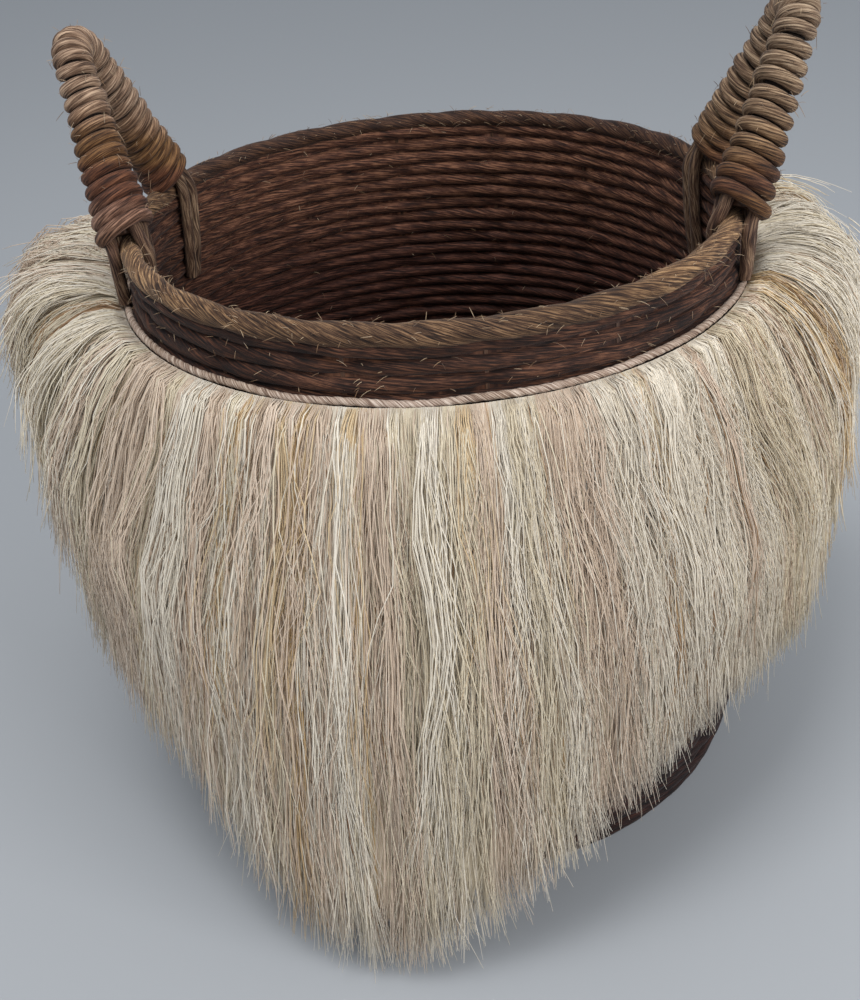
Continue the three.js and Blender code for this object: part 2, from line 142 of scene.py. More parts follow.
def level(vectors: np.ndarray, tangent: np.ndarray) -> np.ndarray:
    """Vectors less their share along the tangents, scaled to length 1."""
    return unit(vectors - (vectors * tangent).sum(-1, keepdims=True) * tangent)


def full_turn(steps: int) -> np.ndarray:
    """Angles of evenly spaced places once round, from 0."""
    return np.arange(steps) / steps * TAU


def apart(angle: np.ndarray, places: np.ndarray) -> np.ndarray:
    """Angles from places, from minus to plus half a turn: a row for each angle, a column for each place."""
    return (angle[:, None] - places[None] + math.pi) % TAU - math.pi


def inset(share: np.ndarray, margin: float) -> np.ndarray:
    """Shares from 0 to 1, squeezed in by a margin at both ends."""
    return margin + (1.0 - 2.0 * margin) * share


def in_strip(shares: np.ndarray, strip: tuple[float, float]) -> np.ndarray:
    """Places from shares along and up, where up goes over a strip of the map with a start and a height."""
    return shares * np.array([1.0, strip[1]]) + np.array([0.0, strip[0]])


def tone_place(tone: np.ndarray, share: np.ndarray) -> np.ndarray:
    """Places across the fibres' map: the column of each tone, and a share of the way across it."""
    return (np.floor(tone * (TONE_COLUMNS - 0.01)) + inset(share, COLUMN_MARGIN)) / TONE_COLUMNS


@dataclass
class Skin:
    """A mesh being gathered: points, faces of one corner count each, and values at the faces' corners."""

    points: list[np.ndarray] = field(default_factory=list)
    faces: list[np.ndarray] = field(default_factory=list)
    lay: list[np.ndarray] = field(default_factory=list)
    bake: list[np.ndarray] = field(default_factory=list)
    count: int = 0

    def add(self, points: np.ndarray, faces: np.ndarray, lay: np.ndarray, bake: np.ndarray) -> None:
        """Adds one surface.

        Args:
            points: rows of x, y, z.
            faces: rows of point numbers, counted from this surface's first point.
            lay: a u, v pair for each corner of each face, in metres along and round the yarn.
            bake: a u, v pair for each corner on the 0 to 1 map.
        """
        self.add_faces(faces, lay, bake)
        self.points.append(points.reshape(-1, 3))
        self.count += len(self.points[-1])

    def add_faces(self, faces: np.ndarray, lay: np.ndarray, bake: np.ndarray, first: int = 0) -> None:
        """Adds faces alone, whose point numbers count from the skin's next point less the number first.

        Args:
            faces: rows of point numbers.
            lay: a u, v pair for each corner, in metres.
            bake: a u, v pair for each corner on the 0 to 1 map.
            first: how many points before the next one the numbers count from.
        """
        self.faces.append(faces + self.count - first)
        self.lay.append(lay.reshape(-1, 2))
        self.bake.append(bake.reshape(-1, 2))

    def to_object(self, name: str, material: bpy.types.Material, slot: str) -> bpy.types.Object:
        """Makes the gathered surfaces one mesh object that rides on the basket's body.

        Args:
            name: the piece's name.
            material: its finish.
            slot: not used.

        Returns:
            The new object, at the origin.
        """
        points = np.concatenate(self.points).astype(np.float32)
        sizes = np.concatenate([np.full(len(f), f.shape[1], np.int32) for f in self.faces])
        corners = np.concatenate([f.ravel() for f in self.faces]).astype(np.int32)
        mesh = bpy.data.meshes.new(name)
        mesh.vertices.add(len(points))
        mesh.vertices.foreach_set("co", points.ravel())
        mesh.loops.add(len(corners))
        mesh.loops.foreach_set("vertex_index", corners)
        mesh.polygons.add(len(sizes))
        starts = np.concatenate([[0], np.cumsum(sizes)[:-1]]).astype(np.int32)
        mesh.polygons.foreach_set("loop_start", starts)
        mesh.polygons.foreach_set("use_smooth", np.ones(len(sizes), bool))
        for layer_name, values in ((BAKE_MAP, self.bake), (LAY_MAP, self.lay)):
            layer = mesh.uv_layers.new(name=layer_name)
            layer.uv.foreach_set("vector", np.concatenate(values).astype(np.float32).ravel())
        mesh.update(calc_edges=True)
        mesh.validate()
        mesh.materials.append(material)
        piece = bpy.data.objects.new(name, mesh)
        bpy.context.scene.collection.objects.link(piece)
        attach(piece, BODY)
        return piece


def grid_faces(rows: int, columns: int, rows_closed: bool) -> tuple[np.ndarray, np.ndarray]:
    """Quads over a grid of points whose last column joins the first.

    Args:
        rows: points along the first axis.
        columns: points along the second axis.
        rows_closed: whether the last row joins the first.

    Returns:
        Point numbers of each quad, and the row and column of each corner without wrapping.
    """
    spans = rows if rows_closed else rows - 1
    row, column = np.meshgrid(np.arange(spans), np.arange(columns), indexing="ij")
    row, column = row.ravel(), column.ravel()
    corner_row = np.stack([row, row + 1, row + 1, row], axis=1)
    corner_column = np.stack([column, column, column + 1, column + 1], axis=1)
    faces = (corner_row % rows) * columns + corner_column % columns
    return faces, np.stack([corner_row, corner_column], axis=-1)


def fan_faces(sides: int) -> np.ndarray:
    """Triangles from the sides of a ring to a middle point that comes after the ring's points."""
    around = np.arange(sides)
    return np.stack([around, (around + 1) % sides, np.full(sides, sides)], axis=1)


@dataclass
class Line:
    """A path with a frame: points, a normal and a side direction at each."""

    points: np.ndarray
    normal: np.ndarray
    side: np.ndarray
    closed: bool

    def lengths(self) -> np.ndarray:
        """Length from the first point to each point, with the whole length added for a closed path.

        Returns:
            A length for each point, and one more on a closed path.
        """
        steps = np.linalg.norm(np.diff(self.points, axis=0), axis=1)
        total = np.concatenate([[0.0], np.cumsum(steps)])
        if self.closed:
            total = np.append(total, total[-1] + np.linalg.norm(self.points[0] - self.points[-1]))
        return total


@dataclass
class TwistedRope:
    """Rope of strands twisted round one another, as one closed tube with a groove between each two strands.

    The section turns once over each lay. Its radius at an angle t of the turning section is
    radius * (1 - groove * |cos(strands * t / 2)|^4).
    """

    diameter: float
    lay: float
    groove: float
    sides: int
    strands: int = 2
    phase: float = 0.0
    wander: float = 0.0
    wander_knots: int = 7
    cap_bulge: float = 0.12
    pattern_shift: float = 40.0
    end_margin: float = 0.002
    edge_margin: float = 0.03

    def build(
        self,
        skin: Skin,
        line: Line,
        band: tuple[float, float],
        seed: int,
        swell: Optional[np.ndarray] = None,
    ) -> None:
        """Adds the rope to a skin.

        Args:
            skin: where the rope goes.
            line: the rope's path and frame.
            band: the strip of the bake map that the rope may fill, low and high.
            seed: number that sets the rope's small differences.
            swell: scale of the section at each path point, or None for an even rope.
        """
        rng = np.random.default_rng(seed)
        lengths = line.lengths()
        whole = lengths[-1]
        turns = max(1, round(whole / self.lay)) if line.closed else whole / self.lay
        steps = len(line.points)
        share = lengths[:steps] / whole
        scale = np.ones(steps) if swell is None else swell
        section = full_turn(self.sides)
        lobes = 1.0 - self.groove * np.abs(np.cos(self.strands * section / 2)) ** 4
        drift = self.wander * smooth_noise(share, self.wander_knots, rng, line.closed)
        angle = (-TAU * turns * share + self.phase + drift)[:, None] + section
        radius = (self.diameter / 2 * scale)[:, None] * lobes
        rings = (
            line.points[:, None, :]
            + (radius * np.cos(angle))[..., None] * line.normal[:, None, :]
            + (radius * np.sin(angle))[..., None] * line.side[:, None, :]
        )
        faces, at = grid_faces(steps, self.sides, line.closed)
        if self.facing_in(rings, faces):
            faces, at = faces[:, ::-1], at[:, ::-1]
        along = lengths[np.minimum(at[..., 0], len(lengths) - 1)]
        round_share = at[..., 1] / self.sides
        shift = rng.uniform(0, self.pattern_shift)
        lay_uv = np.stack([along + shift, round_share * math.pi * self.diameter + shift], axis=-1)
        low, top = band
        v = low + (top - low) * inset(round_share, self.edge_margin)
        bake_uv = np.stack([inset(along / whole, self.end_margin), v], axis=-1)
        skin.add(rings, faces, lay_uv, bake_uv)
        if not line.closed:
            self.cap(skin, rings, lay_uv[0, 0], bake_uv[0, 0], line)

    def facing_in(self, rings: np.ndarray, faces: np.ndarray) -> bool:
        """Whether a face half way along the rope points to the rope's middle.

        Args:
            rings: the rope's rings of points.
            faces: its faces.

        Returns:
            Whether the faces have to be turned round.
        """
        corner = rings.reshape(-1, 3)[faces[len(faces) // 2]]
        normal = np.cross(corner[1] - corner[0], corner[3] - corner[0])
        row = faces[len(faces) // 2][0] // self.sides
        return bool(np.dot(normal, corner.mean(axis=0) - rings[row].mean(axis=0)) < 0)

    def cap(self, skin: Skin, rings: np.ndarray, lay: np.ndarray, bake: np.ndarray, line: Line) -> None:
        """Closes the two open ends of a rope with a fan of triangles round a middle point.

        Args:
            skin: where the rope is.
            rings: the rope's rings of points.
            lay: the place on the lay map that all corners share.
            bake: the corner of the bake map that each small triangle starts from.
            line: the rope's path.
        """
        outward = -unit(line.points[1] - line.points[0]), unit(line.points[-1] - line.points[-2])
        for ring, way in zip((rings[0], rings[-1]), outward):
            middle = ring.mean(axis=0) + way * self.diameter * self.cap_bulge
            fan = fan_faces(self.sides)
            normal = np.cross(ring[1] - ring[0], middle - ring[0])
            if np.dot(normal, way) < 0:
                fan = fan[:, ::-1]
            corners = np.array([[0.0, 0.0], [self.end_margin, 0.0], [0.0, self.end_margin]])
            uv = np.tile(bake + corners, (self.sides, 1))
            skin.add(np.concatenate([ring, middle[None]]), fan, np.tile(lay, (fan.size, 1)), uv)


def smooth_noise(share: np.ndarray, knots: int, rng: np.random.Generator, closed: bool) -> np.ndarray:
    """Smooth random values along a path: cosine blends between random values at even knots.

    Args:
        share: places along the path, from 0 to 1.
        knots: number of spans between knots.
        rng: source of the random values.
        closed: whether the last value is the first one again.

    Returns:
        A value between -1 and 1 for each place.
    """
    values = rng.uniform(-1, 1, knots + 1)
    if closed:
        values[-1] = values[0]
    place = np.clip(share, 0, 1) * knots
    low = np.minimum(place.astype(int), knots - 1)
    blend = 0.5 - 0.5 * np.cos(math.pi * (place - low))
    return values[low] * (1 - blend) + values[low + 1] * blend


def ring_line(radius: np.ndarray, height: np.ndarray, steps: int) -> Line:
    """Closed circle round the basket, its normal pointing outward and its side direction up.

    Args:
        radius: radius at each point.
        height: height at each point.
        steps: number of points.

    Returns:
        The circle's path and frame.
    """
    angle = full_turn(steps)
    normal = polar(angle, 1.0, 0.0)
    side = np.broadcast_to(np.array([0.0, 0.0, 1.0]), normal.shape)
    return Line(polar(angle, radius, height), normal, side, True)


@dataclass
class Strands:
    """Many loose fibres as thin three-sided tubes, each tapering to its tip.

    The paths are fibre by point by x, y, z. The section at a point is a triangle of the fibre's radius, which
    stays full up to a share of the length and then falls by the taper, as the power taper_curve of the way.
    """

    paths: np.ndarray
    radius: np.ndarray
    tone: np.ndarray
    sides: int = 3
    full_share: float = 0.55
    taper: float = 0.6
    taper_curve: float = 1.5
    end_margin: float = 0.01

    def add_to(self, skin: Skin) -> None:
        """Adds all fibres to a skin.

        The map holds the fibre's tone across and the share of its length up, so that every fibre of one tone
        shares one column.

        Args:
            skin: where the fibres go.
        """
        fibres, steps, _ = self.paths.shape
        tangent = unit(np.gradient(self.paths, axis=1))
        around = np.zeros_like(tangent)
        around[..., 0], around[..., 1] = -self.paths[..., 1], self.paths[..., 0]
        across = level(unit(around), tangent)
        other = np.cross(tangent, across)
        past = np.clip((np.linspace(0, 1, steps) - self.full_share) / (1.0 - self.full_share), 0, 1)
        wide = self.radius[:, None] * (1.0 - self.taper * past**self.taper_curve)[None, :]
        turn = full_turn(self.sides)
        rings = (
            self.paths[:, :, None, :]
            + (wide[..., None] * np.cos(turn))[..., None] * across[:, :, None, :]
            + (wide[..., None] * np.sin(turn))[..., None] * other[:, :, None, :]
        )
        faces, at = grid_faces(steps, self.sides, False)
        faces, at = faces[:, ::-1], at[:, ::-1]
        first = np.arange(fibres)[:, None, None] * (steps * self.sides)
        tone = self.tone[:, None, None]
        u = tone_place(tone, at[..., 1] / self.sides)
        v = np.broadcast_to(inset(at[..., 0] / (steps - 1), self.end_margin), u.shape)
        uv = np.stack([u, v], axis=-1)
        skin.add(rings.reshape(-1, 3), (faces[None] + first).reshape(-1, 4), uv, uv)
        self.add_ends(skin, first, tone)

    def add_ends(self, skin: Skin, first: np.ndarray, tone: np.ndarray) -> None:
        """Closes both ends of each fibre with a triangle in the margin of its map column.

        Args:
            skin: where the fibres are, as its last points.
            first: number of each fibre's first point.
            tone: the fibres' tones, shaped like first.
        """
        fibres, steps, _ = self.paths.shape
        corners = np.array([[0, 2, 1], [0, 1, 2]])
        ends = np.array([0, (steps - 1) * self.sides])
        triangles = (corners[None] + ends[None, :, None] + first).reshape(-1, 3)
        lower = self.end_margin * np.array([0.4, 0.8, 0.6])
        cap_u = tone_place(tone, corners / self.sides)
        cap_v = np.broadcast_to(np.stack([lower, 1.0 - lower])[None], cap_u.shape)
        cap_uv = np.stack([cap_u, cap_v], axis=-1)
        skin.add_faces(triangles, cap_uv, cap_uv, fibres * steps * self.sides)


class Graph:
    """A small helper that adds and links shader nodes."""

    def __init__(self, tree: bpy.types.NodeTree) -> None:
        """Starts on a node tree."""
        self.tree = tree

    def node(self, kind: str, **settings: object) -> bpy.types.Node:
        """Adds a node and sets its properties.

        Args:
            kind: the node's type.
            settings: its properties by name.

        Returns:
            The new node.
        """
        made = self.tree.nodes.new(kind)
        for key, value in settings.items():
            setattr(made, key, value)
        return made

    def link(self, start: Socket, end: Socket) -> None:
        """Joins an output to an input."""
        self.tree.links.new(start, end)

    def feed(self, socket: Socket, value: Union[Socket, float]) -> None:
        """Gives an input a link or a constant.

        Args:
            socket: the input.
            value: an output to link, or a number.
        """
        if isinstance(value, Socket):
            self.link(value, socket)
        else:
            socket.default_value = value

    def math(self, operation: str, *values: Union[Socket, float], clamp: bool = False) -> Socket:
        """Adds a Math node.

        Args:
            operation: the node's operation.
            values: a socket or a number for each input in turn.
            clamp: whether the result is held between 0 and 1.

        Returns:
            The node's output.
        """
        made = self.node("ShaderNodeMath", operation=operation, use_clamp=clamp)
        for socket, value in zip(made.inputs, values):
            self.feed(socket, value)
        return made.outputs[0]

    def map_range(self, value: Socket, low: float, high: float, **settings: str) -> bpy.types.Node:
        """Adds a Map Range node from a span of values to 0 to 1.

        Args:
            value: what is mapped.
            low: the value that becomes 0.
            high: the value that becomes 1.
            settings: the node's properties by name.

        Returns:
            The new node.
        """
        made = self.node("ShaderNodeMapRange", **settings)
        made.inputs["From Min"].default_value = low
        made.inputs["From Max"].default_value = high
        self.link(value, made.inputs["Value"])
        return made

    def ramp(self, factor: Socket, stops: Sequence[tuple[float, Colour]]) -> Socket:
        """Adds a Color Ramp.

        Args:
            factor: what the colour follows.
            stops: places from 0 to 1 with their colours, as sRGB numbers from 0 to 255.

        Returns:
            The node's colour.
        """
        made = self.node("ShaderNodeValToRGB")
        elements = made.color_ramp.elements
        while len(elements) > 1:
            elements.remove(elements[-1])
        elements[0].position = stops[0][0]
        elements[0].color = linear(stops[0][1])
        for place, colour in stops[1:]:
            elements.new(place).color = linear(colour)
        self.link(factor, made.inputs[0])
        return made.outputs[0]

    def mix(self, blend: str, factor: Union[Socket, float], first: Socket, second: Socket) -> Socket:
        """Adds a colour Mix node.

        Args:
            blend: the node's blend type.
            factor: share of the second colour.
            first: the first colour.
            second: the second colour.

        Returns:
            The node's colour.
        """
        made = self.node("ShaderNodeMix", data_type="RGBA", blend_type=blend)
        for index, value in ((0, factor), (6, first), (7, second)):
            self.feed(made.inputs[index], value)
        return made.outputs[2]

    def noise(
        self,
        vector: Socket,
        scale: Optional[Triple],
        dimensions: str = "3D",
        **inputs: Union[Socket, float],
    ) -> Socket:
        """Adds a Noise Texture.

        Args:
            vector: where it is read.
            scale: stretch of the vector on each axis through a Mapping node, or None to leave it alone.
            dimensions: 2D or 3D.
            inputs: a socket or a number for each of the texture's inputs by name.

        Returns:
            The noise from 0 to 1.
        """
        if scale is not None:
            stretch = self.node("ShaderNodeMapping")
            stretch.inputs["Scale"].default_value = scale
            self.link(vector, stretch.inputs["Vector"])
            vector = stretch.outputs[0]
            inputs = {"Scale": 1.0, **inputs}
        made = self.node("ShaderNodeTexNoise", noise_dimensions=dimensions)
        self.link(vector, made.inputs["Vector"])
        for name, value in inputs.items():
            self.feed(made.inputs[name], value)
        return made.outputs["Fac"]


def linear(colour: Iterable[float]) -> tuple[float, float, float, float]:
    """A colour written as sRGB numbers from 0 to 255, as Blender's linear numbers with full cover.

    Args:
        colour: red, green and blue.

    Returns:
        Red, green, blue and cover from 0 to 1.
    """
    shares = [value / 255.0 for value in colour]
    red, green, blue = (s / 12.92 if s <= 0.04045 else ((s + 0.055) / 1.055) ** 2.4 for s in shares)
    return red, green, blue, 1.0


def new_material(name: str, inputs: dict[str, object]) -> tuple[bpy.types.Material, Graph, bpy.types.Node]:
    """Adds a material with one Principled shader.

    Args:
        name: the material's name.
        inputs: the shader's constant inputs by name.

    Returns:
        The material, its graph and its shader.
    """
    made = bpy.data.materials.new(name)
    made.use_nodes = True
    shader = made.node_tree.nodes["Principled BSDF"]
    for key, value in inputs.items():
        shader.inputs[key].default_value = value
    return made, Graph(made.node_tree), shader


def new_group(
    name: str, inputs: dict[str, str], outputs: Sequence[str]
) -> tuple[Graph, bpy.types.Node, bpy.types.Node]:
    """Adds a shader node group.

    Args:
        name: the group's name.
        inputs: its inputs, each with the last word of its socket's type.
        outputs: its outputs, all plain values.

    Returns:
        Its graph, its input node and its output node.
    """
    group = bpy.data.node_groups.new(name, "ShaderNodeTree")
    for key, kind in inputs.items():
        group.interface.new_socket(key, in_out="INPUT", socket_type=f"NodeSocket{kind}")
    for key in outputs:
        group.interface.new_socket(key, in_out="OUTPUT", socket_type="NodeSocketFloat")
    graph = Graph(group)
    return graph, graph.node("NodeGroupInput"), graph.node("NodeGroupOutput")


def streak_group() -> bpy.types.NodeTree:
    """Shader group: streaks of fibre along a yarn, from its lay coordinates.

    Noise is read with the coordinate along the yarn squeezed, so that its spots draw out into streaks. Coarse
    streaks are bundles of fibre and fine ones are single fibres. Each noise is spread by 3.2 * noise - 1.1.

    Returns:
        The group, with the values Streak, Fine and Height.
    """
    graph, inlet, outlet = new_group("fibre_streaks", {"Lay": "Vector"}, ("Streak", "Fine", "Height"))
    lay = inlet.outputs["Lay"]
    coarse = graph.noise(lay, (55.0, 900.0, 1.0), "2D", Detail=2.0, Roughness=0.6)
    fine = graph.noise(lay, (160.0, 4200.0, 1.0), "2D", Detail=3.0, Roughness=0.6)
    wide_coarse, wide_fine = (graph.math("MULTIPLY_ADD", value, 3.2, -1.1) for value in (coarse, fine))
    mixes = (("Streak", wide_coarse, wide_fine, 0.55), ("Height", coarse, fine, 0.6))
    for name, first, second, share in mixes:
        lesser = graph.math("MULTIPLY", second, 1.0 - share)
        graph.link(graph.math("MULTIPLY_ADD", first, share, lesser), outlet.inputs[name])
    graph.link(wide_fine, outlet.inputs["Fine"])
    return graph.tree


def drift_group() -> bpy.types.NodeTree:
    """Shader group: slow drift of shade over the whole basket, 3 * noise - 1 held between 0 and 1.

    Returns:
        The group, with the value Drift.
    """
    graph, inlet, outlet = new_group("shade_drift", {"Vector": "Vector", "Scale": "Float"}, ("Drift",))
    vector, scale = inlet.outputs["Vector"], inlet.outputs["Scale"]
    slow = graph.noise(vector, None, Detail=3.0, Roughness=0.65, Scale=scale)
    graph.link(graph.math("MULTIPLY_ADD", slow, 3.0, -1.0, clamp=True), outlet.inputs["Drift"])
    return graph.tree


@dataclass(frozen=True)
class ShadeGrade:
    """Change of colour along Y, as painted shade: from the second colours at low to the first ones at high.

    Drift is how far the slow drift moves the share of the second colours, and even is that share without it.
    """

    low: float
    high: float
    drift: float = 0.7
    even: float = 0.5


@dataclass(frozen=True)
class RopeFinish:
    """Colours and surface of a rope.

    Streaks run from dark to light, and the shade drifts from the first set of colours to the second.
    """

    name: str
    dark: Colour
    middle: Colour
    light: Colour
    drift_dark: Colour
    drift_middle: Colour
    drift_light: Colour
    grade: Optional[ShadeGrade] = None
    tints: tuple[tuple[float, Colour], ...] = ()
    tint_slope: float = 0.0
    places: Triple = (0.1, 0.5, 0.92)
    drift_scale: float = 22.0
    roughness: float = 0.78
    fine_shine: float = -0.12
    specular: float = 0.3
    sheen: float = 0.06
    bump: float = 0.55
    relief: float = 0.0009

    def material(self, groups: dict[str, bpy.types.NodeTree]) -> bpy.types.Material:
        """Builds the finish.

        Args:
            groups: the shared groups, streaks and drift.

        Returns:
            The new material.
        """
        made, graph, shader = new_material(
            self.name, {"Specular IOR Level": self.specular, "Sheen Weight": self.sheen}
        )
        lay = graph.node("ShaderNodeUVMap", uv_map=LAY_MAP)
        streaks = graph.node("ShaderNodeGroup", node_tree=groups["streaks"])
        graph.link(lay.outputs[0], streaks.inputs["Lay"])
        colour = self.colour(graph, streaks.outputs["Streak"], groups["drift"])
        graph.link(colour, shader.inputs["Base Color"])
        rough = graph.math("MULTIPLY_ADD", streaks.outputs["Fine"], self.fine_shine, self.roughness)
        graph.link(rough, shader.inputs["Roughness"])
        bump = graph.node("ShaderNodeBump")
        bump.inputs["Strength"].default_value = self.bump
        bump.inputs["Distance"].default_value = self.relief
        graph.link(streaks.outputs["Height"], bump.inputs["Height"])
        graph.link(bump.outputs[0], shader.inputs["Normal"])
        return made

    def colour(self, graph: Graph, streak: Socket, drift_tree: bpy.types.NodeTree) -> Socket:
        """Adds the nodes of the rope's colour.

        Without a grade the second colours show where the drift is high. With one, which paints shade along Y,
        their share is (1 - rise) * (grade.drift * drift + grade.even), where rise goes from 0 at low to 1 at
        high.
        The tints multiply the result, each where Z + tint_slope * Y has its number.

        Args:
            graph: the material's graph.
            streak: the streaks from 0 to 1.
            drift_tree: the drift's group.

        Returns:
            The colour.
        """
        place = graph.node("ShaderNodeTexCoord").outputs["Object"]
        split = graph.node("ShaderNodeSeparateXYZ")
        graph.link(place, split.inputs[0])
        drift = graph.node("ShaderNodeGroup", node_tree=drift_tree)
        drift.inputs["Scale"].default_value = self.drift_scale
        graph.link(place, drift.inputs["Vector"])
        factor = drift.outputs["Drift"]
        if self.grade is not None:
            span = graph.map_range(
                split.outputs["Y"], self.grade.low, self.grade.high, interpolation_type="SMOOTHSTEP"
            )
            span.inputs["To Min"].default_value = 1.0
            span.inputs["To Max"].default_value = 0.0
            drifting = graph.math("MULTIPLY_ADD", factor, self.grade.drift, self.grade.even)
            factor = graph.math("MULTIPLY", span.outputs[0], drifting, clamp=True)
        sets = (
            (self.dark, self.middle, self.light),
            (self.drift_dark, self.drift_middle, self.drift_light),
        )
        first, second = (graph.ramp(streak, list(zip(self.places, colours))) for colours in sets)
        colour = graph.mix("MIX", factor, first, second)
        if self.tints:
            low, high = self.tints[0][0], self.tints[-1][0]
            tilted = graph.math("MULTIPLY_ADD", split.outputs["Y"], self.tint_slope, split.outputs["Z"])
            stops = [((height - low) / (high - low), tint) for height, tint in self.tints]
            tint = graph.ramp(graph.map_range(tilted, low, high).outputs[0], stops)
            colour = graph.mix("MULTIPLY", 1.0, colour, tint)
        return colour


@dataclass(frozen=True)
class FibreFinish:
    """Colours of loose fibre by tone, and how much each fibre's shade changes along it."""

    name: str
    tones: tuple[tuple[float, Colour], ...]
    change: float = 0.2
    spots: float = 6.0
    shades: tuple[tuple[float, Colour], ...] = (
        (0.25, (168, 150, 126)),
        (0.5, (232, 226, 218)),
        (0.75, (255, 255, 255)),
    )
    roughness: float = 0.7
    specular: float = 0.2
    sheen: float = 0.3
    sheen_roughness: float = 0.4
    sheen_tint: Triple = (1.0, 0.93, 0.84)

    def material(self) -> bpy.types.Material:
        """Builds the finish, which reads only the map of tone across and length up.

        Returns:
            The new material.
        """
        made, graph, shader = new_material(
            self.name,
            {
                "Specular IOR Level": self.specular,
                "Sheen Weight": self.sheen,
                "Sheen Roughness": self.sheen_roughness,
                "Sheen Tint": (*self.sheen_tint, 1.0),
                "Roughness": self.roughness,
            },
        )
        chart = graph.node("ShaderNodeUVMap", uv_map=LAY_MAP).outputs[0]
        split = graph.node("ShaderNodeSeparateXYZ")
        graph.link(chart, split.inputs[0])
        tone = graph.ramp(split.outputs["X"], self.tones)
        noise = graph.noise(chart, (TONE_COLUMNS, self.spots, 1.0), "2D", Detail=2.0)
        colour = graph.mix("MULTIPLY", self.change, tone, graph.ramp(noise, self.shades))
        graph.link(colour, shader.inputs["Base Color"])
        return made


@dataclass(frozen=True)
class CaneFinish:
    """Peeled cane of the hidden stakes and handle cores."""

    name: str = "peeled_cane"
    dark: Colour = (52, 32, 22)
    light: Colour = (96, 66, 46)
    grain: Triple = (900.0, 900.0, 40.0)
    roughness: float = 0.6

    def material(self) -> bpy.types.Material:
        """Builds the finish on object coordinates, with grain drawn out upward.

        Returns:
            The new material.
        """
        made, graph, shader = new_material(self.name, {"Roughness": self.roughness})
        place = graph.node("ShaderNodeTexCoord").outputs["Object"]
        noise = graph.noise(place, self.grain)
        colour = graph.ramp(noise, [(0.3, self.dark), (0.7, self.light)])
        graph.link(colour, shader.inputs["Base Color"])
        return made


# Dark brown, with painted shade: the front is darkened against the key lamp's direct light, the back is
# lighter, and the rows get darker towards the floor
WALL_FINISH = RopeFinish(
    "wall_rope",
    (26, 12, 8),
    (78, 46, 34),
    (150, 110, 88),
    (13, 5, 3),
    (39, 20, 13),
    (88, 54, 36),
    grade=ShadeGrade(-0.03, 0.13),
    tints=((0.10, (170, 140, 140)), (0.26, (204, 178, 174)), (0.33, (255, 243, 228))),
)
# Golden brown in front, with painted shade: dark at the back, and the middle of the front toned down against
# the key lamp, so that both sides are lighter
RIM_FINISH = RopeFinish(
    "rim_rope",
    (20, 11, 8),
    (56, 35, 26),
    (106, 76, 56),
    (34, 20, 13),
    (108, 80, 58),
    (206, 172, 132),
    grade=ShadeGrade(-0.01, 0.09),
    tints=(
        (0.190, (190, 178, 170)),
        (0.225, (202, 190, 176)),
        (0.265, (255, 246, 232)),
        (0.380, (255, 246, 234)),
    ),
    tint_slope=1.0,
)
# Pinkish at the foot, then red brown and golden, and pale at the top
HANDLE_FINISH = RopeFinish(
    "left_handle_rope",
    (58, 41, 31),
    (138, 114, 96),
    (208, 188, 168),
    (46, 31, 22),
    (120, 96, 79),
    (194, 170, 148),
    tints=(
        (0.350, (196, 160, 134)),
        (0.360, (212, 186, 174)),
        (0.374, (210, 180, 170)),
        (0.380, (170, 126, 104)),
        (0.397, (168, 124, 98)),
        (0.404, (190, 156, 112)),
        (0.417, (202, 172, 128)),
        (0.426, (232, 212, 192)),
        (0.440, (255, 246, 236)),
    ),
    tint_slope=0.367,
)
RIGHT_HANDLE_FINISH = replace(
    HANDLE_FINISH,
    name="right_handle_rope",
    dark=(42, 29, 20),
    middle=(140, 119, 98),
    light=(212, 195, 172),
    drift_dark=(34, 23, 16),
    drift_light=(194, 174, 150),
    tints=(
        (0.355, (176, 138, 98)),
        (0.372, (172, 138, 96)),
        (0.380, (148, 108, 88)),
        (0.390, (166, 130, 98)),
        (0.400, (200, 174, 144)),
        (0.420, (226, 210, 192)),
        (0.460, (236, 226, 216)),
    ),
    tint_slope=0.2,
)
TIE_FINISH = RopeFinish(
    "handle_tie_strand",
    (34, 20, 14),
    (96, 70, 52),
    (164, 138, 110),
    (28, 15, 11),
    (76, 50, 38),
    (134, 102, 78),
)
# Near black painted shade for the gaps between a winding's turns, on a tube under them
GAP_SHADE_FINISH = RopeFinish(
    "handle_packing",
    (16, 9, 6),
    (34, 21, 15),
    (58, 39, 28),
    (14, 8, 6),
    (28, 17, 12),
    (48, 32, 23),
)
CORD_FINISH = RopeFinish(
    "header_cord",
    (104, 80, 67),
    (172, 149, 133),
    (224, 208, 194),
    (84, 62, 50),
    (154, 129, 110),
    (208, 190, 172),
)
# White, greenish cream, pink beige, golden and brown, each from its paler to its darker end
FRINGE_FINISH = FibreFinish(
    "fringe_fibre",
    (
        (0.0, (242, 234, 220)),
        (0.26, (233, 223, 205)),
        (0.28, (235, 224, 201)),
        (0.5, (220, 206, 180)),
        (0.52, (232, 213, 194)),
        (0.74, (207, 186, 164)),
        (0.76, (228, 206, 170)),
        (0.89, (200, 168, 122)),
        (0.91, (184, 150, 110)),
        (1.0, (134, 98, 68)),
    ),
)
HAIR_FINISH = FibreFinish(
    "loose_brown_fibre",
    ((0.0, (206, 182, 150)), (0.5, (150, 118, 88)), (1.0, (70, 44, 30))),
)


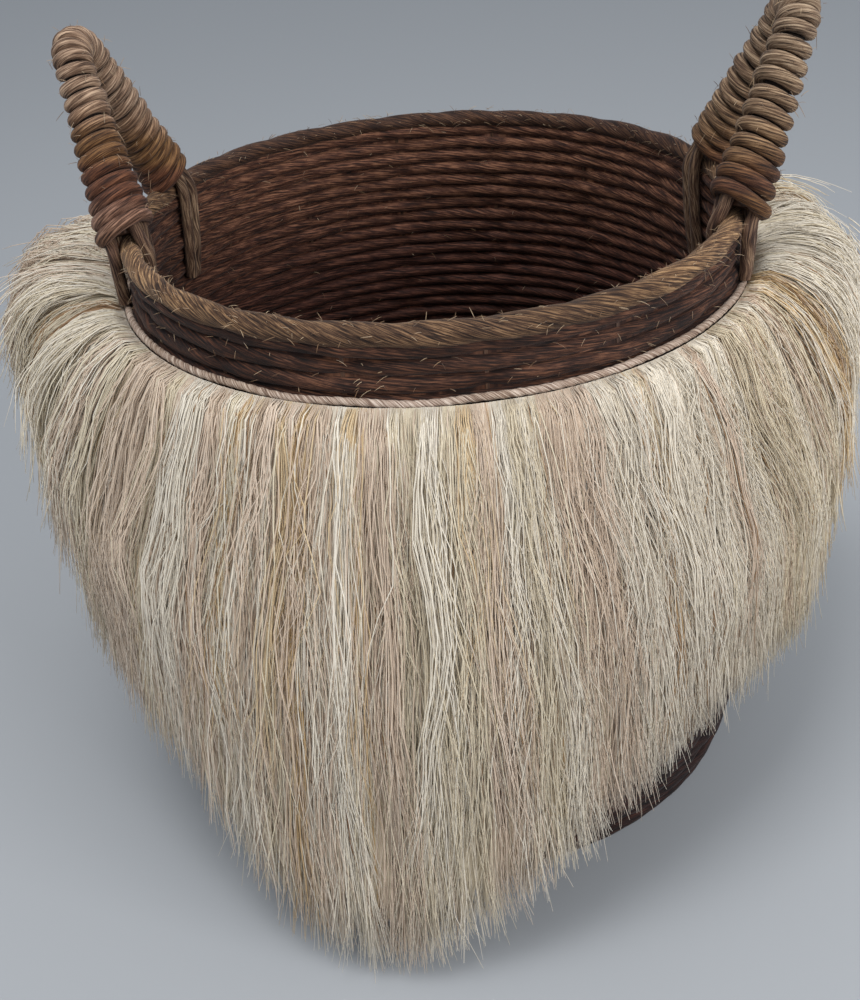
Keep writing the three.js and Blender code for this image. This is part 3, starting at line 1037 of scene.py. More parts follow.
@dataclass
class Weave:
    """Wall and bottom of rope courses woven round the stakes."""

    finish: bpy.types.Material
    courses: int = 38
    groups: int = 2
    steps: int = 288
    overlap: float = 1.07
    lift: float = 0.0036
    seed: int = 11

    # The course rope
    lay: float = 0.18
    lay_spread: tuple[float, float] = (0.8, 1.25)
    groove: float = 0.13
    sides: int = 10
    phase_step: float = 2.1
    wander: float = 1.6
    unevenness: float = 0.05
    unevenness_knots: int = 40
    row_cover: float = 0.98

    # Its way round the stakes
    stake_width: float = 0.045
    bulge: float = 0.0013
    pinch: float = 0.04
    sway: float = 0.0008
    sway_knots: int = 26
    waver: float = 0.0005
    waver_knots: int = 22

    # Inside of the weave: thickness, points round and up, and how far its ends stand in or out
    liner_thickness: float = 0.0024
    liner_steps: int = 96
    liner_rows: int = 14
    liner_ends: tuple[float, float] = (0.002, 0.001)
    # Start and height of its strip on the bake map
    liner_strip: tuple[float, float] = (0.9982, 0.0012)

    # Bottom: its rope, and the disc in it
    coil_groove: float = 0.10
    coil_sides: int = 8
    coil_step: float = 0.0042
    coil_phase_step: float = 1.7
    disc_heights: tuple[float, float] = (0.0025, 0.006)
    disc_inset: float = 0.004
    disc_hole: float = 0.0005
    disc_steps: int = 64
    disc_strip: tuple[float, float] = (0.996, 0.002)
    ring_cover: float = 0.96

    def near_stakes(self, angle: np.ndarray) -> np.ndarray:
        """How near each angle is to each stake, from 0 to 1: exp(-(angle from the stake / width)^2)."""
        stake = (np.arange(STAKES) + 0.5) / STAKES * TAU
        return np.exp(-((apart(angle, stake) / self.stake_width) ** 2))

    def course_line(self, index: int) -> Line:
        """Path of one course: a circle that swings out and in at alternate stakes and wavers a little.

        The swing is bulge * sum over stakes of (-1)^(course + stake) * exp(-(angle from stake / width)^2).

        Args:
            index: the course's number from the bottom.

        Returns:
            The closed path.
        """
        rng = np.random.default_rng(self.seed * 1000 + index)
        height = WALL_BOTTOM + (index + 0.5) * (WALL_TOP + self.lift - WALL_BOTTOM) / self.courses
        angle = full_turn(self.steps)
        sign = (-1.0) ** (index + np.arange(STAKES))
        swing = (sign * self.near_stakes(angle)).sum(axis=1) * self.bulge
        swing = swing + self.sway * smooth_noise(angle / TAU, self.sway_knots, rng, True)
        waver = self.waver * smooth_noise(angle / TAU, self.waver_knots, rng, True)
        return ring_line(wall_radius(height) + swing, height + waver, self.steps)

    def add_course(self, skin: Skin, index: int, band: tuple[float, float]) -> None:
        """Adds one course, pinched a little at each stake, in its strip of the bake map.

        Args:
            skin: where the course goes.
            index: its number from the bottom.
            band: its strip, low and high.
        """
        rng = np.random.default_rng(self.seed * 77 + index)
        rope = TwistedRope(
            diameter=(WALL_TOP - WALL_BOTTOM) / self.courses * self.overlap,
            lay=self.lay * rng.uniform(*self.lay_spread),
            groove=self.groove,
            sides=self.sides,
            phase=index * self.phase_step,
            wander=self.wander,
        )
        angle = full_turn(self.steps)
        pinched = 1.0 - self.pinch * self.near_stakes(angle).sum(axis=1)
        uneven = smooth_noise(angle / TAU, self.unevenness_knots, rng, True)
        pinched = pinched * (1.0 + self.unevenness * uneven)
        rope.build(skin, self.course_line(index), band, self.seed + index, pinched)

    def build(self) -> list[bpy.types.Object]:
        """Makes the wall in groups of courses, and the bottom.

        Returns:
            The pieces made.
        """
        pieces = []
        per_group = self.courses // self.groups
        for group in range(self.groups):
            skin = Skin()
            for row in range(per_group):
                band = row / per_group, (row + self.row_cover) / per_group
                self.add_course(skin, group * per_group + row, band)
            if group == 0:
                self.add_liner(skin)
            pieces.append(skin.to_object(f"wall_courses_{group + 1}", self.finish, "wall_rope"))
        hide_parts("wall_weave")
        pieces.append(self.bottom())
        return pieces

    def add_liner(self, skin: Skin) -> None:
        """Adds the inside of the weave, a thin closed shell between the rows that keeps light out of gaps.

        Args:
            skin: where the shell goes.
        """
        steps, rows = self.liner_steps, self.liner_rows
        height = np.linspace(WALL_BOTTOM + self.liner_ends[0], WALL_TOP + self.liner_ends[1], rows)
        height = np.concatenate([height, height[::-1]])
        half = self.liner_thickness / 2
        radius = wall_radius(height) + np.repeat([half, -half], rows)
        points = polar(full_turn(steps)[:, None], radius[None], np.broadcast_to(height, (steps, 2 * rows)))
        faces, at = grid_faces(steps, 2 * rows, True)
        uv = in_strip(at / np.array([steps, 2.0 * rows]), self.liner_strip)
        skin.add(points, faces, uv, uv)

    def bottom(self) -> bpy.types.Object:
        """Flat bottom: one rope coiled in rings of growing radius, over a thin closed disc.

        Returns:
            The piece made.
        """
        skin = Skin()
        edge = float(wall_radius(WALL_BOTTOM)) + WALL_ROPE / 2
        rings = int(edge / WALL_ROPE)
        for index, radius in enumerate(edge - WALL_ROPE * (np.arange(rings) + 0.5)):
            steps = max(16, int(TAU * radius / self.coil_step))
            phase = index * self.coil_phase_step
            rope = TwistedRope(WALL_ROPE, self.lay, self.coil_groove, self.coil_sides, phase=phase)
            line = ring_line(np.full(steps, radius), WALL_ROPE / 2, steps)
            band = index / rings, (index + self.ring_cover) / rings
            rope.build(skin, line, band, self.seed + 500 + index)
        low, high = self.disc_heights
        hole, rim = self.disc_hole, edge - self.disc_inset
        profile = np.array([[hole, low], [rim, low], [rim, high], [hole, high]])
        angle = full_turn(self.disc_steps)
        points = polar(angle[:, None], profile[None, :, 0], profile[None, :, 1])
        faces, at = grid_faces(self.disc_steps, len(profile), True)
        uv = in_strip(at / np.array([self.disc_steps, len(profile)]), self.disc_strip)
        skin.add(points, faces, uv, uv)
        piece = skin.to_object("bottom_coil", self.finish, "wall_rope")
        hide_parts("base_weave")
        return piece


@dataclass
class RimAndCord:
    """Twisted rope on top of the wall, and the thin cord that holds the fringe."""

    rim_finish: bpy.types.Material
    cord_finish: bpy.types.Material
    rim_lay: float = 0.088
    rim_steps: int = 504
    rim_full: float = 1.12
    rim_waver: float = 0.0004
    rim_waver_knots: int = 14
    rim_slim: float = 0.93
    rim_slant: float = -0.07
    rim_unevenness: float = 0.02
    rim_unevenness_knots: int = 24
    cord_lay: float = 0.014
    cord_steps: int = 756
    cord_waver: float = 0.0009
    cord_waver_knots: int = 36
    seed: int = 3

    def build(self) -> list[bpy.types.Object]:
        """Makes both ropes as closed rings, whose small differences come from one random source."""
        rng = np.random.default_rng(self.seed)
        return [self.rim(rng), self.cord(rng)]

    def rim(self, rng: np.random.Generator) -> bpy.types.Object:
        """Rim rope, whose width is slim + slant * sin(angle) of its full width: thinner at the back.

        Args:
            rng: source of the random values.

        Returns:
            The piece made.
        """
        skin = Skin()
        rope = TwistedRope(RIM_ROPE * self.rim_full, self.rim_lay, groove=0.16, sides=24, wander=0.8)
        share = np.arange(self.rim_steps) / self.rim_steps
        height = RIM_HEIGHT + self.rim_waver * smooth_noise(share, self.rim_waver_knots, rng, True)
        slim = self.rim_slim + self.rim_slant * np.sin(TAU * share)
        slim = slim + self.rim_unevenness * smooth_noise(share, self.rim_unevenness_knots, rng, True)
        line = ring_line(np.full(self.rim_steps, RIM_RADIUS), height, self.rim_steps)
        rope.build(skin, line, (0.0, 1.0), 5, slim)
        piece = skin.to_object("rim_twisted_rope", self.rim_finish, "rim_rope")
        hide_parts("rim_rope")
        return piece

    def cord(self, rng: np.random.Generator) -> bpy.types.Object:
        """Header cord round the outside of the wall.

        Args:
            rng: source of the random values.

        Returns:
            The piece made.
        """
        skin = Skin()
        cord = TwistedRope(HEADER_CORD, self.cord_lay, groove=0.16, sides=8, wander=0.4)
        ring = wall_radius(RIM_HEIGHT - HEADER_DROP) + WALL_ROPE / 2 + GAP + HEADER_CORD / 2
        share = np.arange(self.cord_steps) / self.cord_steps
        waver = self.cord_waver * smooth_noise(share, self.cord_waver_knots, rng, True)
        height = RIM_HEIGHT - HEADER_DROP + waver
        cord.build(skin, ring_line(np.full(self.cord_steps, ring), height, self.cord_steps), (0.0, 1.0), 6)
        piece = skin.to_object("header_twisted_cord", self.cord_finish, "header_cord")
        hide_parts("fringe_header_cord")
        return piece


@dataclass(frozen=True)
class WindingSize:
    """Winding of a handle: its rope, what a turn adds on the legs and the top, and its swell at the front."""

    rope: float
    leg_pitch: float
    top_pitch: float
    front_swell: float


HANDLE_LEANS = {Side.LEFT: 0.026, Side.RIGHT: 0.036}
WINDING_SIZES = {
    Side.LEFT: WindingSize(0.0082, 0.0081, 0.0053, 1.0),
    Side.RIGHT: WindingSize(0.0089, 0.0092, 0.0057, 0.4),
}


@dataclass
class Handle:
    """One arch handle: the rope wound round its core, and the strands that straddle the rim at its feet."""

    side: Side
    finish: bpy.types.Material
    tie_finish: bpy.types.Material
    gap_shade_finish: bpy.types.Material
    core: float = 0.010
    start: float = 0.0095

    # Winding: how far it passes the legs' starts, how its turns slant, and how its ends thin out and tuck in
    drop: float = 0.002
    slant: float = 0.0034
    foot_slant: float = 0.0028
    tuck: float = 0.4
    tuck_depth: float = 0.004
    end_swell: float = 0.13
    end_reach: float = 0.085
    thinnest: float = 0.84
    foot_gain: float = 0.17
    steps_per_turn: int = 26
    end_cover: float = 0.4
    tuck_slim: float = 0.5
    # Small differences along the arch, in the rope's width and in the ring, each with its knots in a turn
    along_waver: tuple[float, float] = (0.0006, 2.0)
    unevenness: tuple[float, float] = (0.06, 1.5)
    ring_waver: tuple[float, float] = (0.0004, 3.0)

    # Packing: radius over the core's at the top and its gain at the feet; then the dark tube of painted shade
    # over it: how far it stands out, how far its ends stay in, and its points along and round
    packing: float = 0.86
    packing_gain: float = 1.08
    packing_cover: float = 0.0016
    packing_ends: float = 0.006
    packing_steps: int = 60
    packing_sides: int = 12

    # Foot strands: radius, half their distance, starts and lengths, and gaps and spreads on the way down
    strand: float = 0.0037
    lane: float = 0.0046
    strand_starts: tuple[float, float] = (0.010, 0.024)
    inner_length: float = 0.060
    outer_rise: float = 0.001
    below_rim: float = 0.011
    gaps: Triple = (0.0096, 0.0086, 0.0078)
    spreads: Triple = (0.0044, 0.0040, 0.0028)
    strand_points: int = 46
    lane_cover: float = 0.48

    def __post_init__(self) -> None:
        """Works out the handle's plane and arch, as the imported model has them."""
        sign = self.side.value
        lean = HANDLE_LEANS[self.side]
        half = RIM_RADIUS * math.sin(FOOT_ANGLE)
        self.name = self.side.name.lower()
        self.size = WINDING_SIZES[self.side]
        self.centre = math.hypot(HANDLE_RISE, lean) - APEX_RADIUS
        reach = math.hypot(half, self.centre)
        self.slope = math.atan2(half, self.centre) - math.asin(APEX_RADIUS / reach)
        self.foot = np.array([sign * RIM_RADIUS * math.cos(FOOT_ANGLE), 0.0, RIM_HEIGHT])
        self.up = unit(np.array([sign * lean, 0.0, HANDLE_RISE]))
        self.out = unit(np.array([sign * HANDLE_RISE, 0.0, -lean]))
        self.across = np.array([0.0, 1.0, 0.0])
        self.leg = math.sqrt(reach**2 - APEX_RADIUS**2) - self.start
        self.bend = APEX_RADIUS * (math.pi - 2 * self.slope)
        self.length = 2 * self.leg + self.bend

    def arch(self, length: np.ndarray) -> tuple[np.ndarray, np.ndarray]:
        """Points and inward directions on the arch: a straight leg, a round top and a straight leg.

        Args:
            length: distances from the front leg's start.

        Returns:
            Points, and directions in the arch's plane towards its inside.
        """
        turned = np.clip((length - self.leg) / APEX_RADIUS, 0.0, math.pi - 2 * self.slope)
        angle = self.slope + turned
        straight = length - self.leg - turned * APEX_RADIUS
        y = -APEX_RADIUS * np.cos(angle) + np.sin(angle) * straight
        rise = self.centre + APEX_RADIUS * np.sin(angle) + np.cos(angle) * straight
        points = self.foot + y[:, None] * self.across + rise[:, None] * self.up
        inward = np.cos(angle)[:, None] * self.across - np.sin(angle)[:, None] * self.up
        return points, inward

    def spoke(self, turn: np.ndarray, inward: np.ndarray) -> np.ndarray:
        """Directions round the arch: from the handle's outer side at a turn of 0 to the arch's inside."""
        return np.cos(turn)[..., None] * self.out + np.sin(turn)[..., None] * inward

    def foot_share(self, along: np.ndarray) -> np.ndarray:
        """How near places on the arch are to a foot: 0 at the top and 1 at the feet."""
        return np.clip(np.abs(2 * along / self.length - 1.0), 0.0, 1.0)

    def packed_radius(self, along: np.ndarray) -> np.ndarray:
        """Radius under the winding: core / 2 * (packing + packing_gain * foot share^1.5)."""
        return self.core / 2 * (self.packing + self.packing_gain * self.foot_share(along) ** 1.5)

    @staticmethod
    def noise_along(
        size: tuple[float, float], share: np.ndarray, turns: float, rng: np.random.Generator
    ) -> np.ndarray:
        """Noise of a size along the winding, from its height and its knots in a turn."""
        return size[0] * smooth_noise(share, int(turns * size[1]), rng, False)

    def winding(self) -> tuple[Line, np.ndarray]:
        """Helix round the arch, closer on the round top so that it stays covered on the outside.

        On the legs each turn slants by slant * cos(turn), so that it lies lower on the side away from the
        basket, and the last turns slant more. Both ends thin out and tuck in under their last turn.

        Returns:
            The rope's path, and the scale of its section along it.
        """
        rng = np.random.default_rng(40 + self.side.value)
        size = self.size
        keys = np.array([-self.drop, self.leg, self.leg + self.bend, self.length + self.drop])
        spans = np.array([0.0, self.leg + self.drop, self.bend, self.leg + self.drop])
        turned = np.cumsum(spans / np.array([1.0, size.leg_pitch, size.top_pitch, size.leg_pitch]))
        whole = turned[3]
        turns = np.linspace(0.0, whole, int(whole * self.steps_per_turn))
        share = turns / whole
        along = np.interp(turns, turned, keys)
        along = along + self.noise_along(self.along_waver, share, whole, rng)
        ends = size.rope * self.end_cover - self.drop
        along = np.clip(along, ends, self.length - ends)
        swell = self.end_swell * np.exp(-((share / self.end_reach) ** 4)) * size.front_swell
        scale = self.thinnest + self.foot_gain * self.foot_share(along) + swell
        scale = scale + self.noise_along(self.unevenness, share, whole, rng)
        tucked = 1.0 - np.clip(np.minimum(turns, whole - turns) / self.tuck, 0.0, 1.0)
        scale = scale * (1.0 - self.tuck_slim * tucked)
        ring = self.packed_radius(along) + size.rope / 2 * scale - self.tuck_depth * tucked
        ring = ring + self.noise_along(self.ring_waver, share, whole, rng)
        angle = TAU * turns
        leg = np.clip((self.length / 2 - along) / self.bend, -1, 1)
        slant = self.slant + self.foot_slant * self.foot_share(along) ** 4
        middle, inward = self.arch(along - slant * leg * np.cos(angle))
        normal = self.spoke(angle, inward)
        points = middle + ring[:, None] * normal
        tangent = unit(np.gradient(points, axis=0))
        return Line(points, normal, np.cross(tangent, normal), False), scale

    def build(self) -> list[bpy.types.Object]:
        """Makes the winding, the dark tube of painted shade under it and the four foot ties.

        Returns:
            The pieces made.
        """
        skin = Skin()
        rope = TwistedRope(diameter=self.size.rope, lay=0.11, groove=0.09, sides=12, wander=1.6)
        line, scale = self.winding()
        rope.build(skin, line, (0.0, 0.99), 70 + self.side.value, scale)
        wrap = skin.to_object(f"{self.name}_handle_winding", self.finish, "handle_rope")
        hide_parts(f"{self.name}_handle_wrap")
        pieces = [wrap, self.under_winding()]
        return pieces + [self.tie(end, outward) for end in End for outward in (True, False)]

    def under_winding(self) -> bpy.types.Object:
        """Painted shade under the winding: a dark closed tube round the core that shows only between the
        turns.

        Returns:
            The piece made.
        """
        skin = Skin()
        steps, sides = self.packing_steps, self.packing_sides
        along = np.linspace(self.packing_ends, self.length - self.packing_ends, steps)
        middle, inward = self.arch(along)
        radius = self.packed_radius(along) + self.packing_cover
        ways = self.spoke(full_turn(sides)[None, :], inward[:, None, :])
        rings = middle[:, None, :] + radius[:, None, None] * ways
        faces, at = grid_faces(steps, sides, False)
        uv = at / np.array([steps, sides]) * np.array([1.0, 0.98])
        skin.add(rings, faces[:, ::-1], uv[:, ::-1] * 0.3, uv[:, ::-1])
        cap_uv = np.tile(np.array([[0.0, 0.99], [0.001, 0.99], [0.0, 0.995]]), (sides, 1))
        for index, order in ((0, 1), (steps - 1, -1)):
            points = np.concatenate([rings[index], middle[index][None]])
            skin.add(points, fan_faces(sides)[:, ::order], cap_uv, cap_uv)
        return skin.to_object(f"{self.name}_handle_packing", self.gap_shade_finish, "handle_rope")

    def tie(self, end: End, outward: bool) -> bpy.types.Object:
        """Two strands of a foot.

        Args:
            end: which foot.
            outward: down the outer side to the header cord, or else down the inner side of the wall.

        Returns:
            The strands as one piece.
        """
        skin = Skin()
        sign = 1.0 if outward else -1.0
        radial = self.foot_way(end, 0.0)
        for lane in (-1.0, 1.0):
            points = smooth_path(self.strand_keys(end, sign, lane), self.strand_points)
            tangent = unit(np.gradient(points, axis=0))
            normal = level(np.broadcast_to(sign * radial, points.shape), tangent)
            line = Line(points, normal, np.cross(tangent, normal), False)
            rope = TwistedRope(2 * self.strand, lay=0.2, groove=0.07, sides=12, phase=lane, wander=0.5)
            low = 0.0 if lane < 0 else 0.5
            seed = 90 + int(lane) + 7 * end.value + 3 * self.side.value
            rope.build(skin, line, (low, low + self.lane_cover), seed)
        label = f"{self.name}_{end.name.lower()}_{'outer' if outward else 'inner'}"
        piece = skin.to_object(f"{label}_strands", self.tie_finish, "handle_rope")
        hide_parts(f"{label}_tie")
        return piece

    def foot_way(self, end: End, turn: float) -> np.ndarray:
        """Level direction at a foot, at a turn from the one that points away from the basket's middle."""
        angle = end.value * FOOT_ANGLE if self.side is Side.RIGHT else math.pi - end.value * FOOT_ANGLE
        return polar(angle + turn, 1.0, 0.0)

    def strand_keys(self, end: End, sign: float, lane: float) -> np.ndarray:
        """Key points of one foot strand, from beside the core over the rim and down the wall.

        Args:
            end: which foot.
            sign: 1 on the outer side of the wall and -1 on the inner side.
            lane: -1 or 1, which of the two strands.

        Returns:
            Rows of x, y, z.
        """
        thick = self.strand
        bottom = HEADER_DROP - HEADER_CORD / 2 - self.outer_rise if sign > 0 else self.inner_length
        starts = np.array(self.strand_starts)
        if end is End.FRONT:
            beside_core, inward = self.arch(starts - self.start)
        else:
            beside_core, inward = self.arch(self.length - starts + self.start)
        aside = -end.value * self.side.value * lane * self.lane
        keys = [
            beside_core[index] + self.out * sign * (self.core / 2 + thick * out) + inward[index] * aside
            for index, out in ((1, 0.9), (0, 1.0))
        ]
        drops = (0.0, self.below_rim, 0.5 * bottom + 0.006, bottom)
        gaps = (RIM_ROPE / 2 + thick, *self.gaps)
        radial, tangent_way = self.foot_way(end, 0.0), self.foot_way(end, math.pi / 2)
        for drop, gap, spread in zip(drops, gaps, (self.lane, *self.spreads)):
            beside = float(wall_radius(RIM_HEIGHT - max(drop, 0.006))) if drop > 0 else RIM_RADIUS
            middle = radial * (beside + sign * gap) + tangent_way * lane * spread
            keys.append(np.array([middle[0], middle[1], RIM_HEIGHT - drop]))
        return np.array(keys)


def smooth_path(keys: np.ndarray, count: int) -> np.ndarray:
    """Smooth curve through key points, evenly spaced along it.

    Args:
        keys: rows of x, y, z.
        count: number of points wanted.

    Returns:
        Points on the Catmull-Rom curve through the keys.
    """
    place = np.linspace(0, len(keys) - 1, 12 * len(keys))
    curve = through_keys(keys[None], place[None])[0]
    length = np.concatenate([[0.0], np.cumsum(np.linalg.norm(np.diff(curve, axis=0), axis=1))])
    even = np.linspace(0, length[-1], count)
    return np.stack([np.interp(even, length, curve[:, axis]) for axis in range(3)], axis=1)


def through_keys(keys: np.ndarray, place: np.ndarray) -> np.ndarray:
    """Points on the Catmull-Rom curves through rows of keys.

    Between keys b and c, with a before and d after them, at a share t of the way, the point is half of
    2b + (c - a)t + (2a - 5b + 4c - d)t^2 + (3b - a - 3c + d)t^3.

    Args:
        keys: curve by key by coordinates.
        place: curve by point, each a place among the keys: 1.5 is half way from the second to the third.

    Returns:
        Curve by point by coordinates.
    """
    low = np.minimum(place.astype(int), keys.shape[1] - 2)
    ends = 2 * keys[:, :1] - keys[:, 1:2], 2 * keys[:, -1:] - keys[:, -2:-1]
    padded = np.concatenate([ends[0], keys, ends[1]], axis=1)
    a, b, c, d = (np.take_along_axis(padded, (low + step)[..., None], axis=1) for step in range(4))
    t = (place - low)[..., None]
    return 0.5 * (2 * b + (c - a) * t + (2 * a - 5 * b + 4 * c - d) * t**2 + (3 * b - a - 3 * c + d) * t**3)


class Family(Enum):
    """Family of a fibre's colour, in the order of the fringe finish's tones."""

    WHITE = 0
    CREAM = 1
    PINK = 2
    GOLDEN = 3
    BROWN = 4


# Tones between which the families lie
FAMILY_TONES = np.array([0.0, 0.28, 0.52, 0.76, 0.9, 1.0])


@dataclass(frozen=True)
class Layer:
    """One sort of fibre in the fringe, with its ranges of reach, depth and radius.

    The start is the share of a fibre's way at which it begins, and flared is the share of its clumps that
    stick out where the fringe hangs smoothly.
    """

    count: int
    points: int
    reach: tuple[float, float]
    depth: tuple[float, float]
    radius: tuple[float, float]
    waver: float
    flared: float
    start: float = 0.0


@dataclass(frozen=True)
class Clumps:
    """What the fibres of one clump share, as one value or row for each clump."""

    angle: np.ndarray
    depth: np.ndarray
    drift: np.ndarray
    reach: np.ndarray
    tone: np.ndarray
    sway: np.ndarray
    flare: np.ndarray


@dataclass
class Fringe:
    """Locks of raw fibre folded over the header cord and hanging all round.

    Lines are points of radius and height from the rim, both over the rim radius, from the root on.
    """

    finish: bpy.types.Material
    clumps: int = 400
    seed: int = 23
    # Long inner fibres, outer ones that end anywhere, and short ones that fill the tips
    layers: tuple[Layer, ...] = (
        Layer(12000, 11, (0.9, 1.03), (0.0, 0.11), (0.00026, 0.00043), 0.0034, 0.05),
        Layer(10500, 10, (0.25, 0.98), (-0.06, 0.08), (0.00022, 0.00039), 0.0036, 0.15),
        Layer(6000, 5, (0.9, 1.02), (0.1, 0.95), (0.00028, 0.00043), 0.001, 0.0, 0.76),
    )

    # Angle and width of the point at the front, whose like is at the back
    point_angle: float = math.radians(-96)
    point_width: float = math.radians(26)
    # Tip at the sides, and what it gains at a point
    tip: tuple[float, float] = (1.38, -1.3)
    tip_gain: tuple[float, float] = (0.16, -0.72)
    inner_tip: tuple[float, float] = (0.055, 0.0)
    outer: Rows = ((1.06, -0.19), (1.1, -0.2), (1.15, -0.29), (1.22, -0.46), (1.3, -0.66))
    outer_swelled: Rows = ((1.06, -0.19), (1.12, -0.16), (1.28, -0.13), (1.46, -0.15), (1.55, -0.33))
    inner: Rows = ((1.06, -0.2), (1.07, -0.25), (1.085, -0.34), (1.105, -0.48), (1.145, -0.74))
    # Below the shoulder: radius, share of the way down to the tips, and gain of radius at a swell
    outer_fall: Rows = ((1.38, 0.3, 0.12), (1.39, 0.65, 0.03))
    inner_fall: Rows = ((1.2, 0.3, 0.0), (1.22, 0.62, 0.0))
    # How far each lower key is drawn to the tip's radius
    fall_pull: float = 0.3
    # Line of the fibres that stick out at the shoulder
    flared: Rows = (
        (1.06, -0.185),
        (1.12, -0.142),
        (1.2, -0.112),
        (1.28, -0.1),
        (1.36, -0.1),
        (1.44, -0.108),
        (1.51, -0.122),
        (1.575, -0.145),
    )
    # Sides where fibres stand out in tufts: middle in degrees and spread
    tufted: tuple[tuple[float, float], ...] = ((180.0, 0.16), (14.0, 0.1))
    tuft_waves: tuple[int, ...] = (19, 29)
    tuft_share: float = 1.1

    # Families' waves round the basket, and where the fringe is paler and pinker, in degrees; the paler side
    # is partly white fibre and partly painted light on the right
    family_waves: tuple[tuple[int, ...], ...] = ((7, 29, 47), (5, 31, 53), (9, 26, 43))
    pale_side: float = -15.0
    pink_side: float = -112.0
    # What white, cream and pink gain everywhere, on the pale side and on the pink side
    even_gains: Triple = (0.0, 0.1, 0.0)
    pale_gains: Triple = (0.35, 0.0, -0.15)
    pink_gains: Triple = (0.0, -0.15, 0.28)
    drift_pull: float = 2.6
    mixing: float = 0.45
    within_family: tuple[float, float] = (0.1, 0.9)
    golden_share: float = 0.035
    brown_share: float = 0.01
    # At the handles' feet: share of golden and brown clumps, the golden part of it, and its width
    foot_tinged: float = 0.75
    foot_golden: float = 0.75
    foot_width: float = 0.045

    # Bed under the fibres: depths of its two sides, points, and its lengths over the fibres'
    bed_depths: tuple[float, float] = (0.145, 0.9)
    bed_columns: int = 48
    bed_rows: int = 12
    bed_reach: float = 0.88
    bed_raggedness: float = 0.06
    bed_waves: tuple[int, ...] = (96, 240, 408)
    # Its tones, darkened as painted shade, where clumps are pale and where they are golden or brown: start
    # and slope over theirs
    bed_pale: tuple[float, float] = (0.46, 0.055)
    bed_dark: tuple[float, float] = (0.39, 0.6)
    bed_margin: float = 0.02
    bed_end_map: Rows = ((0.502, 0.5), (0.503, 0.5), (0.503, 0.51), (0.502, 0.51))

    # Clumps: width, drift aside on the way down, spread of depth and tone, and strays from other families
    clump_width: float = 0.0095
    clump_drift: float = 0.014
    drift_wave: float = 0.03
    drift_waves: tuple[int, ...] = (7, 13)
    depth_spread: float = 0.025
    shallowest: float = -0.12
    # Parts of a fibre's reach that its clump and the fibre itself set
    reach_mix: tuple[float, float] = (0.7, 0.3)
    tone_spread: float = 0.02
    stray_share: float = 0.1
    stray_brown: float = 0.009
    gather: float = 0.3

    # Flare of clumps, its spread in a clump, that of single fibres, and its share away from and at the sides
    clump_flare: tuple[float, float] = (0.1, 1.0)
    flare_spread: tuple[float, float] = (0.7, 1.05)
    single_flare: tuple[float, float] = (0.0, 0.8)
    flare_gains: tuple[float, float] = (0.25, 0.75)
    # Of every five fibres of a clump two hang, with this share of their flare
    hanging: tuple[int, int] = (2, 5)
    hanging_flare: float = 0.15
    # Fibres that stick out more than this are mostly of these tones
    pale_flare: float = 0.4
    pale_share: float = 0.7
    pale_tones: tuple[float, float] = (0.0, 0.4)

    # Way of a fibre: crowding of its points to the root, own sway and lean, where sway and rise set in
    crowding: float = 1.1
    own_sway: float = 0.5
    own_lean: float = 1.15
    sway_onset: float = 5.0
    rise_share: float = 0.35
    rise_onset: float = 4.0
    # Fraying towards the tip: where it starts, and how far it goes out and aside
    fray_start: float = 0.55
    fray_out: float = 0.02
    fray_aside: float = 0.12
    # Lowest height of a fibre, and the spread of it
    floor_clear: tuple[float, float] = (0.0015, 0.002)

    def point_share(self, angle: np.ndarray) -> np.ndarray:
        """Share of the extra length at an angle: 1 at the front and back points, 0 at the sides."""
        away = np.abs(np.arctan(np.tan(angle - self.point_angle)))
        return np.exp(-((away / self.point_width) ** 2))

    @staticmethod
    def swell_share(angle: np.ndarray) -> np.ndarray:
        """Share of the swelled section at an angle: nearly 1 at the largest swell and 0 far from it.

        Args:
            angle: places round the basket.

        Returns:
            A share for each place.
        """
        middle, width, share = FRINGE_SWELLS.T
        away = (np.degrees(angle)[:, None] - middle + 180.0) % 360.0 - 180.0
        return (share * np.exp(-((away / width) ** 2))).sum(axis=1)

    def side_share(self, angle: np.ndarray) -> np.ndarray:
        """How near an angle is to a tufted side: sum of exp((cos(angle from its middle) - 1) / spread)."""
        near = [(np.cos(angle - math.radians(middle)) - 1.0) / spread for middle, spread in self.tufted]
        return sum(np.exp(value) for value in near)

    def foot_share(self, angle: np.ndarray) -> np.ndarray:
        """How near an angle is to a handle foot, where brown strands hang into the fringe, from 0 to 1."""
        feet = np.array([end.value * FOOT_ANGLE + turn for end in End for turn in (0.0, math.pi)])
        return np.exp(-((apart(angle, feet) / self.foot_width) ** 2)).sum(axis=1)

    def keys(self, angle: np.ndarray, depth: np.ndarray, flare: np.ndarray) -> np.ndarray:
        """Key points of each fibre: radius and height over the rim radius.

        A fibre blends the outer and the inner side by its depth, and then the flared line by its flare.

        Args:
            angle: place of each fibre round the basket.
            depth: 0 on the outer side and 1 on the inner side.
            flare: 0 for a hanging fibre and 1 for one that sticks out.

        Returns:
            Array of fibre by key by radius and height.
        """
        tip = np.array(self.tip) + self.point_share(angle)[:, None] * np.array(self.tip_gain)
        swell = self.swell_share(angle)[:, None]
        sides = []
        for head, swelled, fall, inward in (
            (self.outer, self.outer_swelled, self.outer_fall, (0.0, 0.0)),
            (self.inner, self.inner, self.inner_fall, self.inner_tip),
        ):
            rows = [low + (high - low) * swell for low, high in zip(np.array(head), np.array(swelled))]
            start = rows[-1][:, 1]
            for number, (radius, share, widening) in enumerate(fall):
                wide = radius + widening * swell[:, 0]
                wide = wide + (tip[:, 0] - wide) * self.fall_pull * (number + 1)
                rows.append(np.stack([wide, start + (tip[:, 1] - start) * share], axis=-1))
            rows.append(tip - np.array(inward))
            sides.append(np.stack(rows, axis=1))
        hanging = sides[0] + (sides[1] - sides[0]) * depth[:, None, None]
        return hanging + (np.array(self.flared) - hanging) * flare[:, None, None]

